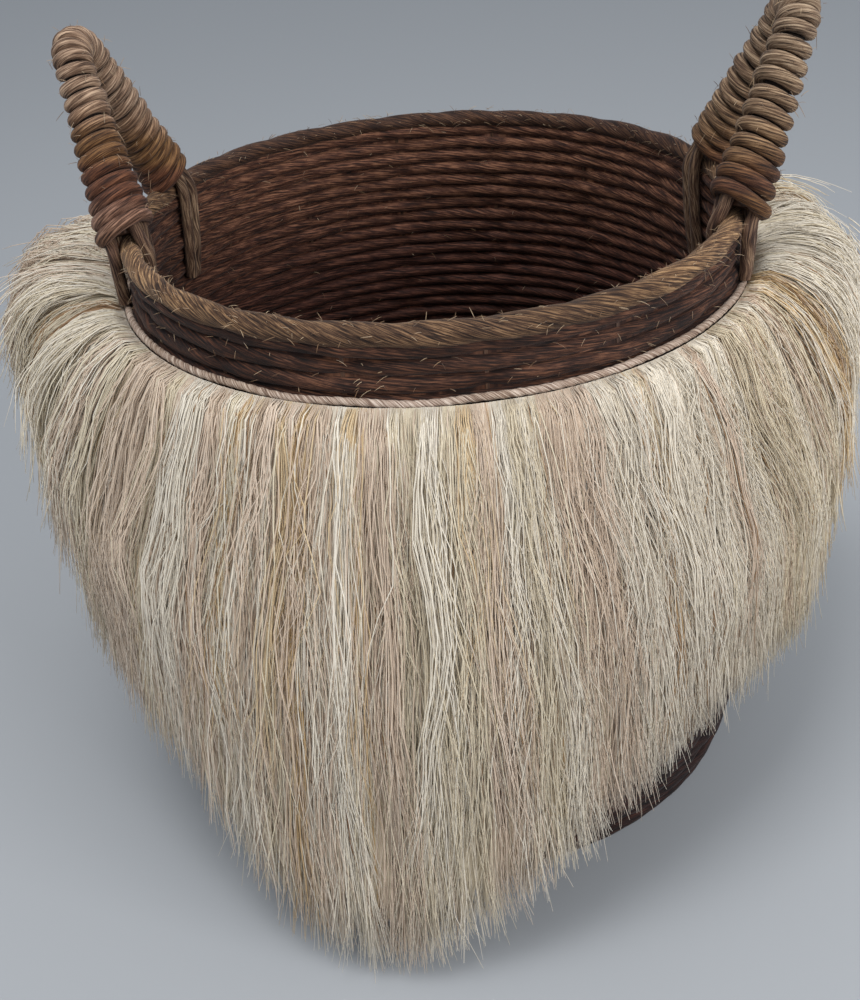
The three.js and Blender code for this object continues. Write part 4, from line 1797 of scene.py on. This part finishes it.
    @staticmethod
    def follow(keys: np.ndarray, share: np.ndarray) -> np.ndarray:
        """Points on the smooth curves through the keys at shares of their lengths.

        The place of a share among the keys is the sum over the spans of how far each span is passed.

        Args:
            keys: fibre by key by radius and height.
            share: fibre by point.

        Returns:
            Fibre by point by radius and height.
        """
        spans = np.linalg.norm(np.diff(keys, axis=1), axis=2)
        before = np.cumsum(spans, axis=1) - spans
        length = share * spans.sum(axis=1, keepdims=True)
        place = np.clip((length[:, None, :] - before[..., None]) / spans[..., None], 0, 1).sum(axis=1)
        return through_keys(keys, place)

    def tones(self, angle: np.ndarray, rng: np.random.Generator) -> np.ndarray:
        """Tone of clumps: each falls in one family, and which is commoner drifts slowly round the basket.

        Args:
            angle: place of each clump.
            rng: source of the random values.

        Returns:
            A tone from 0 to 1 for each clump.
        """
        count = len(angle)
        drifting = np.random.default_rng(self.seed + 1)
        drift = np.stack([wave(angle, waves, drifting) for waves in self.family_waves])
        drift = drift + np.array(self.even_gains)[:, None]
        for middle, gains in ((self.pale_side, self.pale_gains), (self.pink_side, self.pink_gains)):
            drift = drift + np.array(gains)[:, None] * np.cos(angle - math.radians(middle))
        family = (self.drift_pull * drift + rng.gumbel(0, self.mixing, drift.shape)).argmax(axis=0)
        rare = rng.uniform(0, 1, count)
        golden, brown = Family.GOLDEN.value, Family.BROWN.value
        family = np.where(rare < self.golden_share, golden, family)
        at_foot = rng.uniform(0, 1, count) < self.foot_share(angle) * self.foot_tinged
        family = np.where(at_foot, np.where(rare < self.foot_golden, golden, brown), family)
        family = np.where(rare > 1.0 - self.brown_share, brown, family)
        low, high = FAMILY_TONES[family], FAMILY_TONES[family + 1]
        return low + (high - low) * rng.uniform(*self.within_family, count)

    def build(self) -> list[bpy.types.Object]:
        """Makes all fibres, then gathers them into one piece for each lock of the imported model.

        Returns:
            The pieces made.
        """
        rng = np.random.default_rng(self.seed)
        skins = [Skin() for _ in range(BUNDLES)]
        for index, skin in enumerate(skins):
            self.add_bed(skin, index, rng)
        for layer in self.layers:
            self.add_layer(layer, skins, rng)
        pieces = []
        for index, skin in enumerate(skins):
            piece = skin.to_object(f"fringe_lock_{index + 1:02d}", self.finish, "fringe_fibre")
            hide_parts(f"fringe_bundle_{index + 1:02d}")
            pieces.append(piece)
        return pieces

    def add_bed(self, skin: Skin, index: int, rng: np.random.Generator) -> None:
        """Adds the dense inside of one lock: a closed striped shell just under the outer fibres.

        Its rows run from the header down the outer side and back up the inner side. Its stripes are painted
        shade: darker cream, or golden and brown, as fibre in shade looks.

        Args:
            skin: the lock's skin.
            index: the lock's number round the basket.
            rng: source of the stripes' tones.
        """
        columns, rows = self.bed_columns, self.bed_rows
        angle = (index + np.arange(columns + 1) / columns) / BUNDLES * TAU
        ragged = wave(angle, self.bed_waves, np.random.default_rng(self.seed))
        ends = self.bed_reach + self.bed_raggedness * ragged
        share = np.linspace(0.0, 1.0, rows)[None] * ends[:, None]
        sides = []
        for depth in self.bed_depths:
            keys = self.keys(angle, np.full(columns + 1, depth), np.zeros(columns + 1))
            line = self.follow(keys, share) * RIM_RADIUS
            sides.append(polar(angle[:, None], line[..., 0], line[..., 1] + RIM_HEIGHT))
        loop = np.concatenate([sides[0], sides[1][:, ::-1]], axis=1)
        faces, at = grid_faces(columns + 1, 2 * rows, False)
        tone = self.tones((angle[:-1] + angle[1:]) / 2, rng)
        # Painted shade: the stripes keep to the darker end of each tone
        pale, dark = (start + slope * tone for start, slope in (self.bed_pale, self.bed_dark))
        tone = np.where(tone < FAMILY_TONES[Family.GOLDEN.value], pale, dark)
        column = at[..., 0].min(axis=1, keepdims=True)
        up = np.abs(at[..., 1] / (2 * rows) - 0.5) * 2
        u = tone_place(tone[column], at[..., 0] - column)
        uv = np.stack([u, inset(1 - up, self.bed_margin)], axis=-1)
        skin.add(loop, faces, uv, uv)
        place = np.arange(rows - 1)
        wall = np.stack([place, place + 1, 2 * rows - 2 - place, 2 * rows - 1 - place], axis=1)
        edge = np.tile(np.array(self.bed_end_map), (rows - 1, 1))
        for row, order in ((0, -1), (columns, 1)):
            skin.add(loop[row], wall[:, ::order], edge, edge)

    def gather_clumps(self, layer: Layer, rng: np.random.Generator) -> Clumps:
        """Chooses the clumps of one layer.

        Args:
            layer: the sort of fibre.
            rng: source of the random values.

        Returns:
            The clumps' shared values.
        """
        clumps = self.clumps
        angle = (np.arange(clumps) + rng.uniform(-0.5, 0.5, clumps)) / clumps * TAU
        depth = rng.uniform(*layer.depth, clumps)
        drift = rng.normal(0, self.clump_drift, clumps)
        drift = drift + self.drift_wave * wave(angle, self.drift_waves, rng)
        reach = rng.uniform(0, 1, clumps)
        tone = self.tones(angle, rng)
        sway = eased(rng.normal(0, 1, (clumps, layer.points)))
        tufts = 0.5 + wave(angle, self.tuft_waves, np.random.default_rng(self.seed + 2))
        flaring = layer.flared + self.tuft_share * self.side_share(angle) * tufts
        flares = rng.uniform(0, 1, clumps) < flaring
        flare = np.where(flares, np.sqrt(rng.uniform(*self.clump_flare, clumps)), 0.0)
        return Clumps(angle, depth, drift, reach, tone, sway, flare)

    def add_layer(self, layer: Layer, skins: list[Skin], rng: np.random.Generator) -> None:
        """Adds one sort of fibre to the locks, gathered in clumps that share their way, length and tone.

        Args:
            layer: the sort of fibre.
            skins: the locks' skins.
            rng: source of the random values.
        """
        count = layer.count
        clumps = self.gather_clumps(layer, rng)
        owner = np.arange(count) % self.clumps
        aside = rng.normal(0, self.clump_width, count)
        root = clumps.angle[owner] + aside
        depth = clumps.depth[owner] + rng.normal(0, self.depth_spread, count)
        depth = np.clip(depth, self.shallowest, 1)
        mixed = self.reach_mix[0] * clumps.reach[owner] + self.reach_mix[1] * rng.uniform(0, 1, count)
        reach = (layer.reach[0] + (layer.reach[1] - layer.reach[0]) * mixed)[:, None]
        flare = self.fibre_flares(layer, clumps.flare[owner], root, depth, rng)
        tone = self.fibre_tones(clumps.tone[owner], flare, rng)
        passed = np.linspace(0, 1, layer.points)[None] ** self.crowding
        share = (layer.start + (1.0 - layer.start) * passed) * reach
        line = self.follow(self.keys(root, depth, flare), share)
        loose = rng.normal(0, 1, (count, 2))
        fray = np.clip(share / reach - self.fray_start, 0, None) ** 2
        sway = eased(eased(rng.normal(0, 1, (count, layer.points))))
        sway = clumps.sway[owner] + self.own_sway * sway
        sway = sway + self.own_lean * rng.normal(0, 1, (count, 1)) * share
        sway = sway * layer.waver * np.clip(share * self.sway_onset, 0, 1)
        rise = eased(rng.normal(0, 1, (count, layer.points)))
        rise = layer.waver * self.rise_share * rise * np.clip(share * self.rise_onset, 0, 1)
        radius = line[..., 0] * RIM_RADIUS + rise + self.fray_out * fray * loose[:, 1:]
        angle = root[:, None] - self.gather * share * aside[:, None] + clumps.drift[owner][:, None] * share
        angle = angle + sway / radius + self.fray_aside * fray * loose[:, :1]
        paths = polar(angle, radius, line[..., 1] * RIM_RADIUS + RIM_HEIGHT)
        lowest = self.floor_clear[0] + self.floor_clear[1] * rng.uniform(0, 1, (count, 1))
        paths[..., 2] = np.maximum(paths[..., 2], lowest)
        width = rng.uniform(*layer.radius, count)
        bundle = np.floor((root % TAU) / TAU * BUNDLES).astype(int) % BUNDLES
        for index, skin in enumerate(skins):
            mine = bundle == index
            Strands(paths[mine], width[mine], tone[mine]).add_to(skin)

    def fibre_flares(
        self,
        layer: Layer,
        flare: np.ndarray,
        root: np.ndarray,
        depth: np.ndarray,
        rng: np.random.Generator,
    ) -> np.ndarray:
        """How far single fibres stick out.

        Args:
            layer: the sort of fibre.
            flare: flare of each fibre's clump.
            root: place of each fibre round the basket.
            depth: depth of each fibre, whose inner half all hangs.
            rng: source of the random values.

        Returns:
            A flare from 0, hanging, to about 1 for each fibre.
        """
        count = layer.count
        flare = flare * rng.uniform(*self.flare_spread, count)
        single = rng.uniform(0, 1, count) < layer.flared
        flare = np.where(single, rng.uniform(*self.single_flare, count), flare)
        side = np.clip(self.side_share(root), 0, 1)
        flare = flare * np.where(depth < 0.5, 1.0, 0.0) * (self.flare_gains[0] + self.flare_gains[1] * side)
        hangs = np.arange(count) // self.clumps % self.hanging[1] < self.hanging[0]
        return np.where(hangs, self.hanging_flare * flare, flare)

    def fibre_tones(self, tone: np.ndarray, flare: np.ndarray, rng: np.random.Generator) -> np.ndarray:
        """Tones of single fibres.

        Args:
            tone: tone of each fibre's clump.
            flare: how far each fibre sticks out.
            rng: source of the random values.

        Returns:
            The clumps' tones with a little spread, some strays, and mostly pale fibres where they stick out.
        """
        count = len(tone)
        tone = np.clip(tone + rng.normal(0, self.tone_spread, count), 0, 0.999)
        other = rng.uniform(0, 1, count)
        light_end, brown_start = FAMILY_TONES[Family.GOLDEN.value], FAMILY_TONES[Family.BROWN.value]
        tone = np.where(other < self.stray_share, rng.uniform(0, light_end, count), tone)
        tone = np.where(other > 1.0 - self.stray_brown, rng.uniform(brown_start, 0.999, count), tone)
        pale = (flare > self.pale_flare) & (other < self.pale_share)
        return np.where(pale, rng.uniform(*self.pale_tones, count), tone)


def eased(rows: np.ndarray) -> np.ndarray:
    """Rows of random values smoothed along them, each blended with its neighbours, and scaled up again."""
    padded = np.pad(rows, ((0, 0), (1, 1)), mode="edge")
    return (padded[:, :-2] + 2 * padded[:, 1:-1] + padded[:, 2:]) * 0.4


def wave(angle: np.ndarray, counts: Sequence[int], rng: np.random.Generator) -> np.ndarray:
    """Mean of sines round the basket with whole numbers of waves, from about -1 to 1."""
    total = sum(np.sin(number * angle + rng.uniform(0, TAU)) for number in counts)
    return total / len(counts)


@dataclass
class LooseHairs:
    """Short hairs that stand off the rim rope, the handles and the top of the wall."""

    finish: bpy.types.Material
    handles: Sequence[Handle]
    rim_hairs: int = 700
    handle_hairs: int = 160
    wall_hairs: int = 500
    outer_band: float = 0.030
    inner_band: float = 0.16
    # Shares of the ropes' widths at which they root, and how far they keep from the handles' ends
    handle_skin: float = 0.9
    wall_skin: float = 0.48
    handle_ends: float = 0.005
    rim_lap: float = 0.6
    length: tuple[float, float] = (0.002, 0.007)
    radius: tuple[float, float] = (0.00010, 0.00018)
    droop: tuple[float, float] = (0.0, 0.5)
    standing: tuple[float, float] = (0.25, 1.0)
    lean: float = 1.6
    tone_shape: tuple[float, float] = (1.6, 2.0)
    steps: tuple[float, ...] = (0.0, 0.35, 0.7, 1.0)
    seed: int = 31

    def on_rim(self, rng: np.random.Generator) -> Places:
        """Roots, outward ways and ways along the rope on the upper part of the rim.

        Args:
            rng: source of the random values.

        Returns:
            The three as rows of x, y, z.
        """
        angle = rng.uniform(0, TAU, self.rim_hairs)
        turn = rng.uniform(-self.rim_lap, math.pi + self.rim_lap, self.rim_hairs)
        normal = polar(angle, np.cos(turn), np.sin(turn))
        roots = polar(angle, RIM_RADIUS, RIM_HEIGHT) + normal * RIM_ROPE / 2
        return roots, normal, polar(angle + math.pi / 2, 1.0, 0.0)

    def on_handle(self, handle: Handle, rng: np.random.Generator) -> Places:
        """Roots, outward ways and ways along the arch on one handle's winding.

        Args:
            handle: the handle.
            rng: source of the random values.

        Returns:
            The three as rows of x, y, z.
        """
        length = rng.uniform(self.handle_ends, handle.length - self.handle_ends, self.handle_hairs)
        turn = rng.uniform(0, TAU, self.handle_hairs)
        middle, inward = handle.arch(length)
        normal = handle.spoke(turn, inward)
        radius = handle.packed_radius(length) + handle.size.rope * self.handle_skin
        return middle + normal * radius[:, None], normal, np.cross(normal, inward)

    def on_wall(self, rng: np.random.Generator) -> Places:
        """Roots, outward ways and ways along the rows on the wall, above the fringe and inside.

        Args:
            rng: source of the random values.

        Returns:
            The three as rows of x, y, z.
        """
        count = self.wall_hairs
        angle = rng.uniform(0, TAU, count)
        height = rng.uniform(RIM_HEIGHT - self.outer_band, WALL_TOP, count)
        inside = rng.uniform(0, 1, count) < 0.5
        height = np.where(inside, rng.uniform(RIM_HEIGHT - self.inner_band, WALL_TOP, count), height)
        sign = np.where(inside, -1.0, 1.0)
        roots = polar(angle, wall_radius(height) + sign * WALL_ROPE * self.wall_skin, height)
        return roots, polar(angle, sign, 0.0), polar(angle + math.pi / 2, 1.0, 0.0)

    def build(self) -> bpy.types.Object:
        """Makes all hairs as one piece, each curved down from its root.

        Returns:
            The piece made.
        """
        rng = np.random.default_rng(self.seed)
        places = [self.on_rim(rng)]
        places += [self.on_handle(handle, rng) for handle in self.handles]
        places.append(self.on_wall(rng))
        roots, outward, along = (np.concatenate(rows) for rows in zip(*places))
        count = len(roots)
        length = rng.uniform(*self.length, count)[:, None]
        lean = rng.uniform(-1, 1, (count, 1)) * self.lean
        droop = np.array([0.0, 0.0, -1.0]) * rng.uniform(*self.droop, (count, 1))
        way = unit(outward * rng.uniform(*self.standing, (count, 1)) + along * lean)
        paths = np.stack([roots + (way * step + droop * step**2) * length for step in self.steps], axis=1)
        skin = Skin()
        radius, tone = rng.uniform(*self.radius, count), rng.beta(*self.tone_shape, count)
        Strands(paths, radius, tone).add_to(skin)
        return skin.to_object("loose_hairs", self.finish, "wall_rope")


@dataclass(frozen=True)
class Lamp:
    """A square soft lamp, in metres and watts."""

    name: str
    place: Triple
    size: float
    power: float


@dataclass
class Studio:
    """Camera at the photograph's angle, pale floor, and soft light.

    The camera stands above, before and beside the middle of the rim by numbers of rim radii.
    """

    lens: float = 43.2
    pitch: float = math.radians(33.3)
    roll: float = math.radians(-4.5)
    turn: float = math.radians(5.5)
    above: float = 1.39
    before: float = 3.92
    beside: float = -0.08
    floor_half: float = 6.0
    floor_colour: Colour = (168, 171, 175)
    backdrop: Colour = (134, 139, 151)
    sky: tuple[float, float, float, float] = (0.9, 0.95, 1.0, 1.0)
    sky_strength: float = 0.6
    lamps: tuple[Lamp, ...] = (
        Lamp("key_lamp", (-0.35, -0.6, 2.3), 0.9, 23.0),
        Lamp("fill_lamp", (1.9, -1.5, 1.3), 1.6, 38.0),
    )
    lamp_aim: Triple = (0.0, 0.0, 0.2)

    def build(self) -> None:
        """Makes the floor, the lamps, the world and the camera."""
        self.floor()
        for lamp in self.lamps:
            self.light(lamp)
        self.world()
        self.camera()

    def floor(self) -> None:
        """Wide pale floor under the basket."""
        mesh = bpy.data.meshes.new("pale_floor")
        half = self.floor_half
        corners = [(-half, -half, 0), (half, -half, 0), (half, half, 0), (-half, half, 0)]
        mesh.from_pydata(corners, [], [(0, 1, 2, 3)])
        floor = bpy.data.objects.new("pale_floor", mesh)
        bpy.context.scene.collection.objects.link(floor)
        inputs = {"Base Color": linear(self.floor_colour), "Roughness": 0.8}
        mesh.materials.append(new_material("pale_floor", inputs)[0])

    def light(self, lamp: Lamp) -> None:
        """Adds one lamp, turned to the basket.

        Args:
            lamp: its name, place, size and power.
        """
        data = bpy.data.lights.new(lamp.name, "AREA")
        data.size = lamp.size
        data.energy = lamp.power
        made = bpy.data.objects.new(lamp.name, data)
        made.location = lamp.place
        aim = Vector(self.lamp_aim) - Vector(lamp.place)
        made.rotation_mode = "QUATERNION"
        made.rotation_quaternion = aim.to_track_quat("-Z", "Y")
        bpy.context.scene.collection.objects.link(made)

    def world(self) -> None:
        """Even pale surroundings that light the basket, and a plain backdrop where they are seen."""
        world = bpy.data.worlds.new("studio")
        bpy.context.scene.world = world
        world.use_nodes = True
        graph = Graph(world.node_tree)
        world.node_tree.nodes.clear()
        shades = []
        for colour, strength in ((self.sky, self.sky_strength), (linear(self.backdrop), 1.0)):
            shade = graph.node("ShaderNodeBackground")
            shade.inputs["Color"].default_value = colour
            shade.inputs["Strength"].default_value = strength
            shades.append(shade.outputs[0])
        path = graph.node("ShaderNodeLightPath").outputs
        seen = graph.math("MAXIMUM", path["Is Camera Ray"], path["Is Glossy Ray"])
        seen = graph.math("MAXIMUM", seen, path["Is Transmission Ray"])
        blend = graph.node("ShaderNodeMixShader")
        for index, value in enumerate((seen, *shades)):
            graph.link(value, blend.inputs[index])
        outlet = graph.node("ShaderNodeOutputWorld")
        graph.link(blend.outputs[0], outlet.inputs["Surface"])

    def camera(self) -> None:
        """Camera placed by the fit to the rim, the header cord and the handles."""
        spin = Matrix.Rotation(self.turn, 3, "Z")
        forward = spin @ Vector((0, math.cos(self.pitch), -math.sin(self.pitch)))
        flat = spin @ Vector((1, 0, 0))
        upright = flat.cross(forward)
        right = math.cos(self.roll) * flat + math.sin(self.roll) * upright
        up = -math.sin(self.roll) * flat + math.cos(self.roll) * upright
        place = spin @ Vector((self.beside, -self.before, self.above)) * RIM_RADIUS
        place.z += RIM_HEIGHT
        data = bpy.data.cameras.new("photo_camera")
        data.lens = self.lens
        data.sensor_width = 36.0
        data.clip_start = 0.01
        camera = bpy.data.objects.new("photo_camera", data)
        rows = [(right[axis], up[axis], -forward[axis], place[axis]) for axis in range(3)]
        camera.matrix_world = Matrix((*rows, (0, 0, 0, 1)))
        bpy.context.scene.collection.objects.link(camera)
        bpy.context.scene.camera = camera


def dress_cane(nodes: dict[str, bpy.types.Object]) -> None:
    """Gives the stakes and the handle cores, which stay as packed, the cane finish.

    Args:
        nodes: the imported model's nodes by name.
    """
    cane = CaneFinish().material()
    for name, node in nodes.items():
        if name.startswith("wall_stake") or name.endswith("handle_core"):
            node.data.materials.clear()
            node.data.materials.append(cane)


def main(frame: dict) -> None:
    """Builds the basket's pieces in order and reports each.
    """
    bpy.context.scene.view_settings.view_transform = "Standard"
    Studio().build()
    groups = {"streaks": streak_group(), "drift": drift_group()}
    dress_cane(frame["nodes"])
    pieces = Weave(WALL_FINISH.material(groups)).build()
    pieces += RimAndCord(RIM_FINISH.material(groups), CORD_FINISH.material(groups)).build()
    # packing is the finish of the dark tube of painted shade between the windings' turns
    ties, packing = TIE_FINISH.material(groups), GAP_SHADE_FINISH.material(groups)
    windings = {Side.LEFT: HANDLE_FINISH, Side.RIGHT: RIGHT_HANDLE_FINISH}
    handles = [Handle(side, finish.material(groups), ties, packing) for side, finish in windings.items()]
    for handle in handles:
        pieces += handle.build()
    pieces.append(LooseHairs(HAIR_FINISH.material(), handles).build())
    pieces += Fringe(FRINGE_FINISH.material()).build()
    for piece in pieces:
        log.info("%s: %d faces", piece.name, len(piece.data.polygons))


if __name__ == "__main__":
    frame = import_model()
    main(frame)
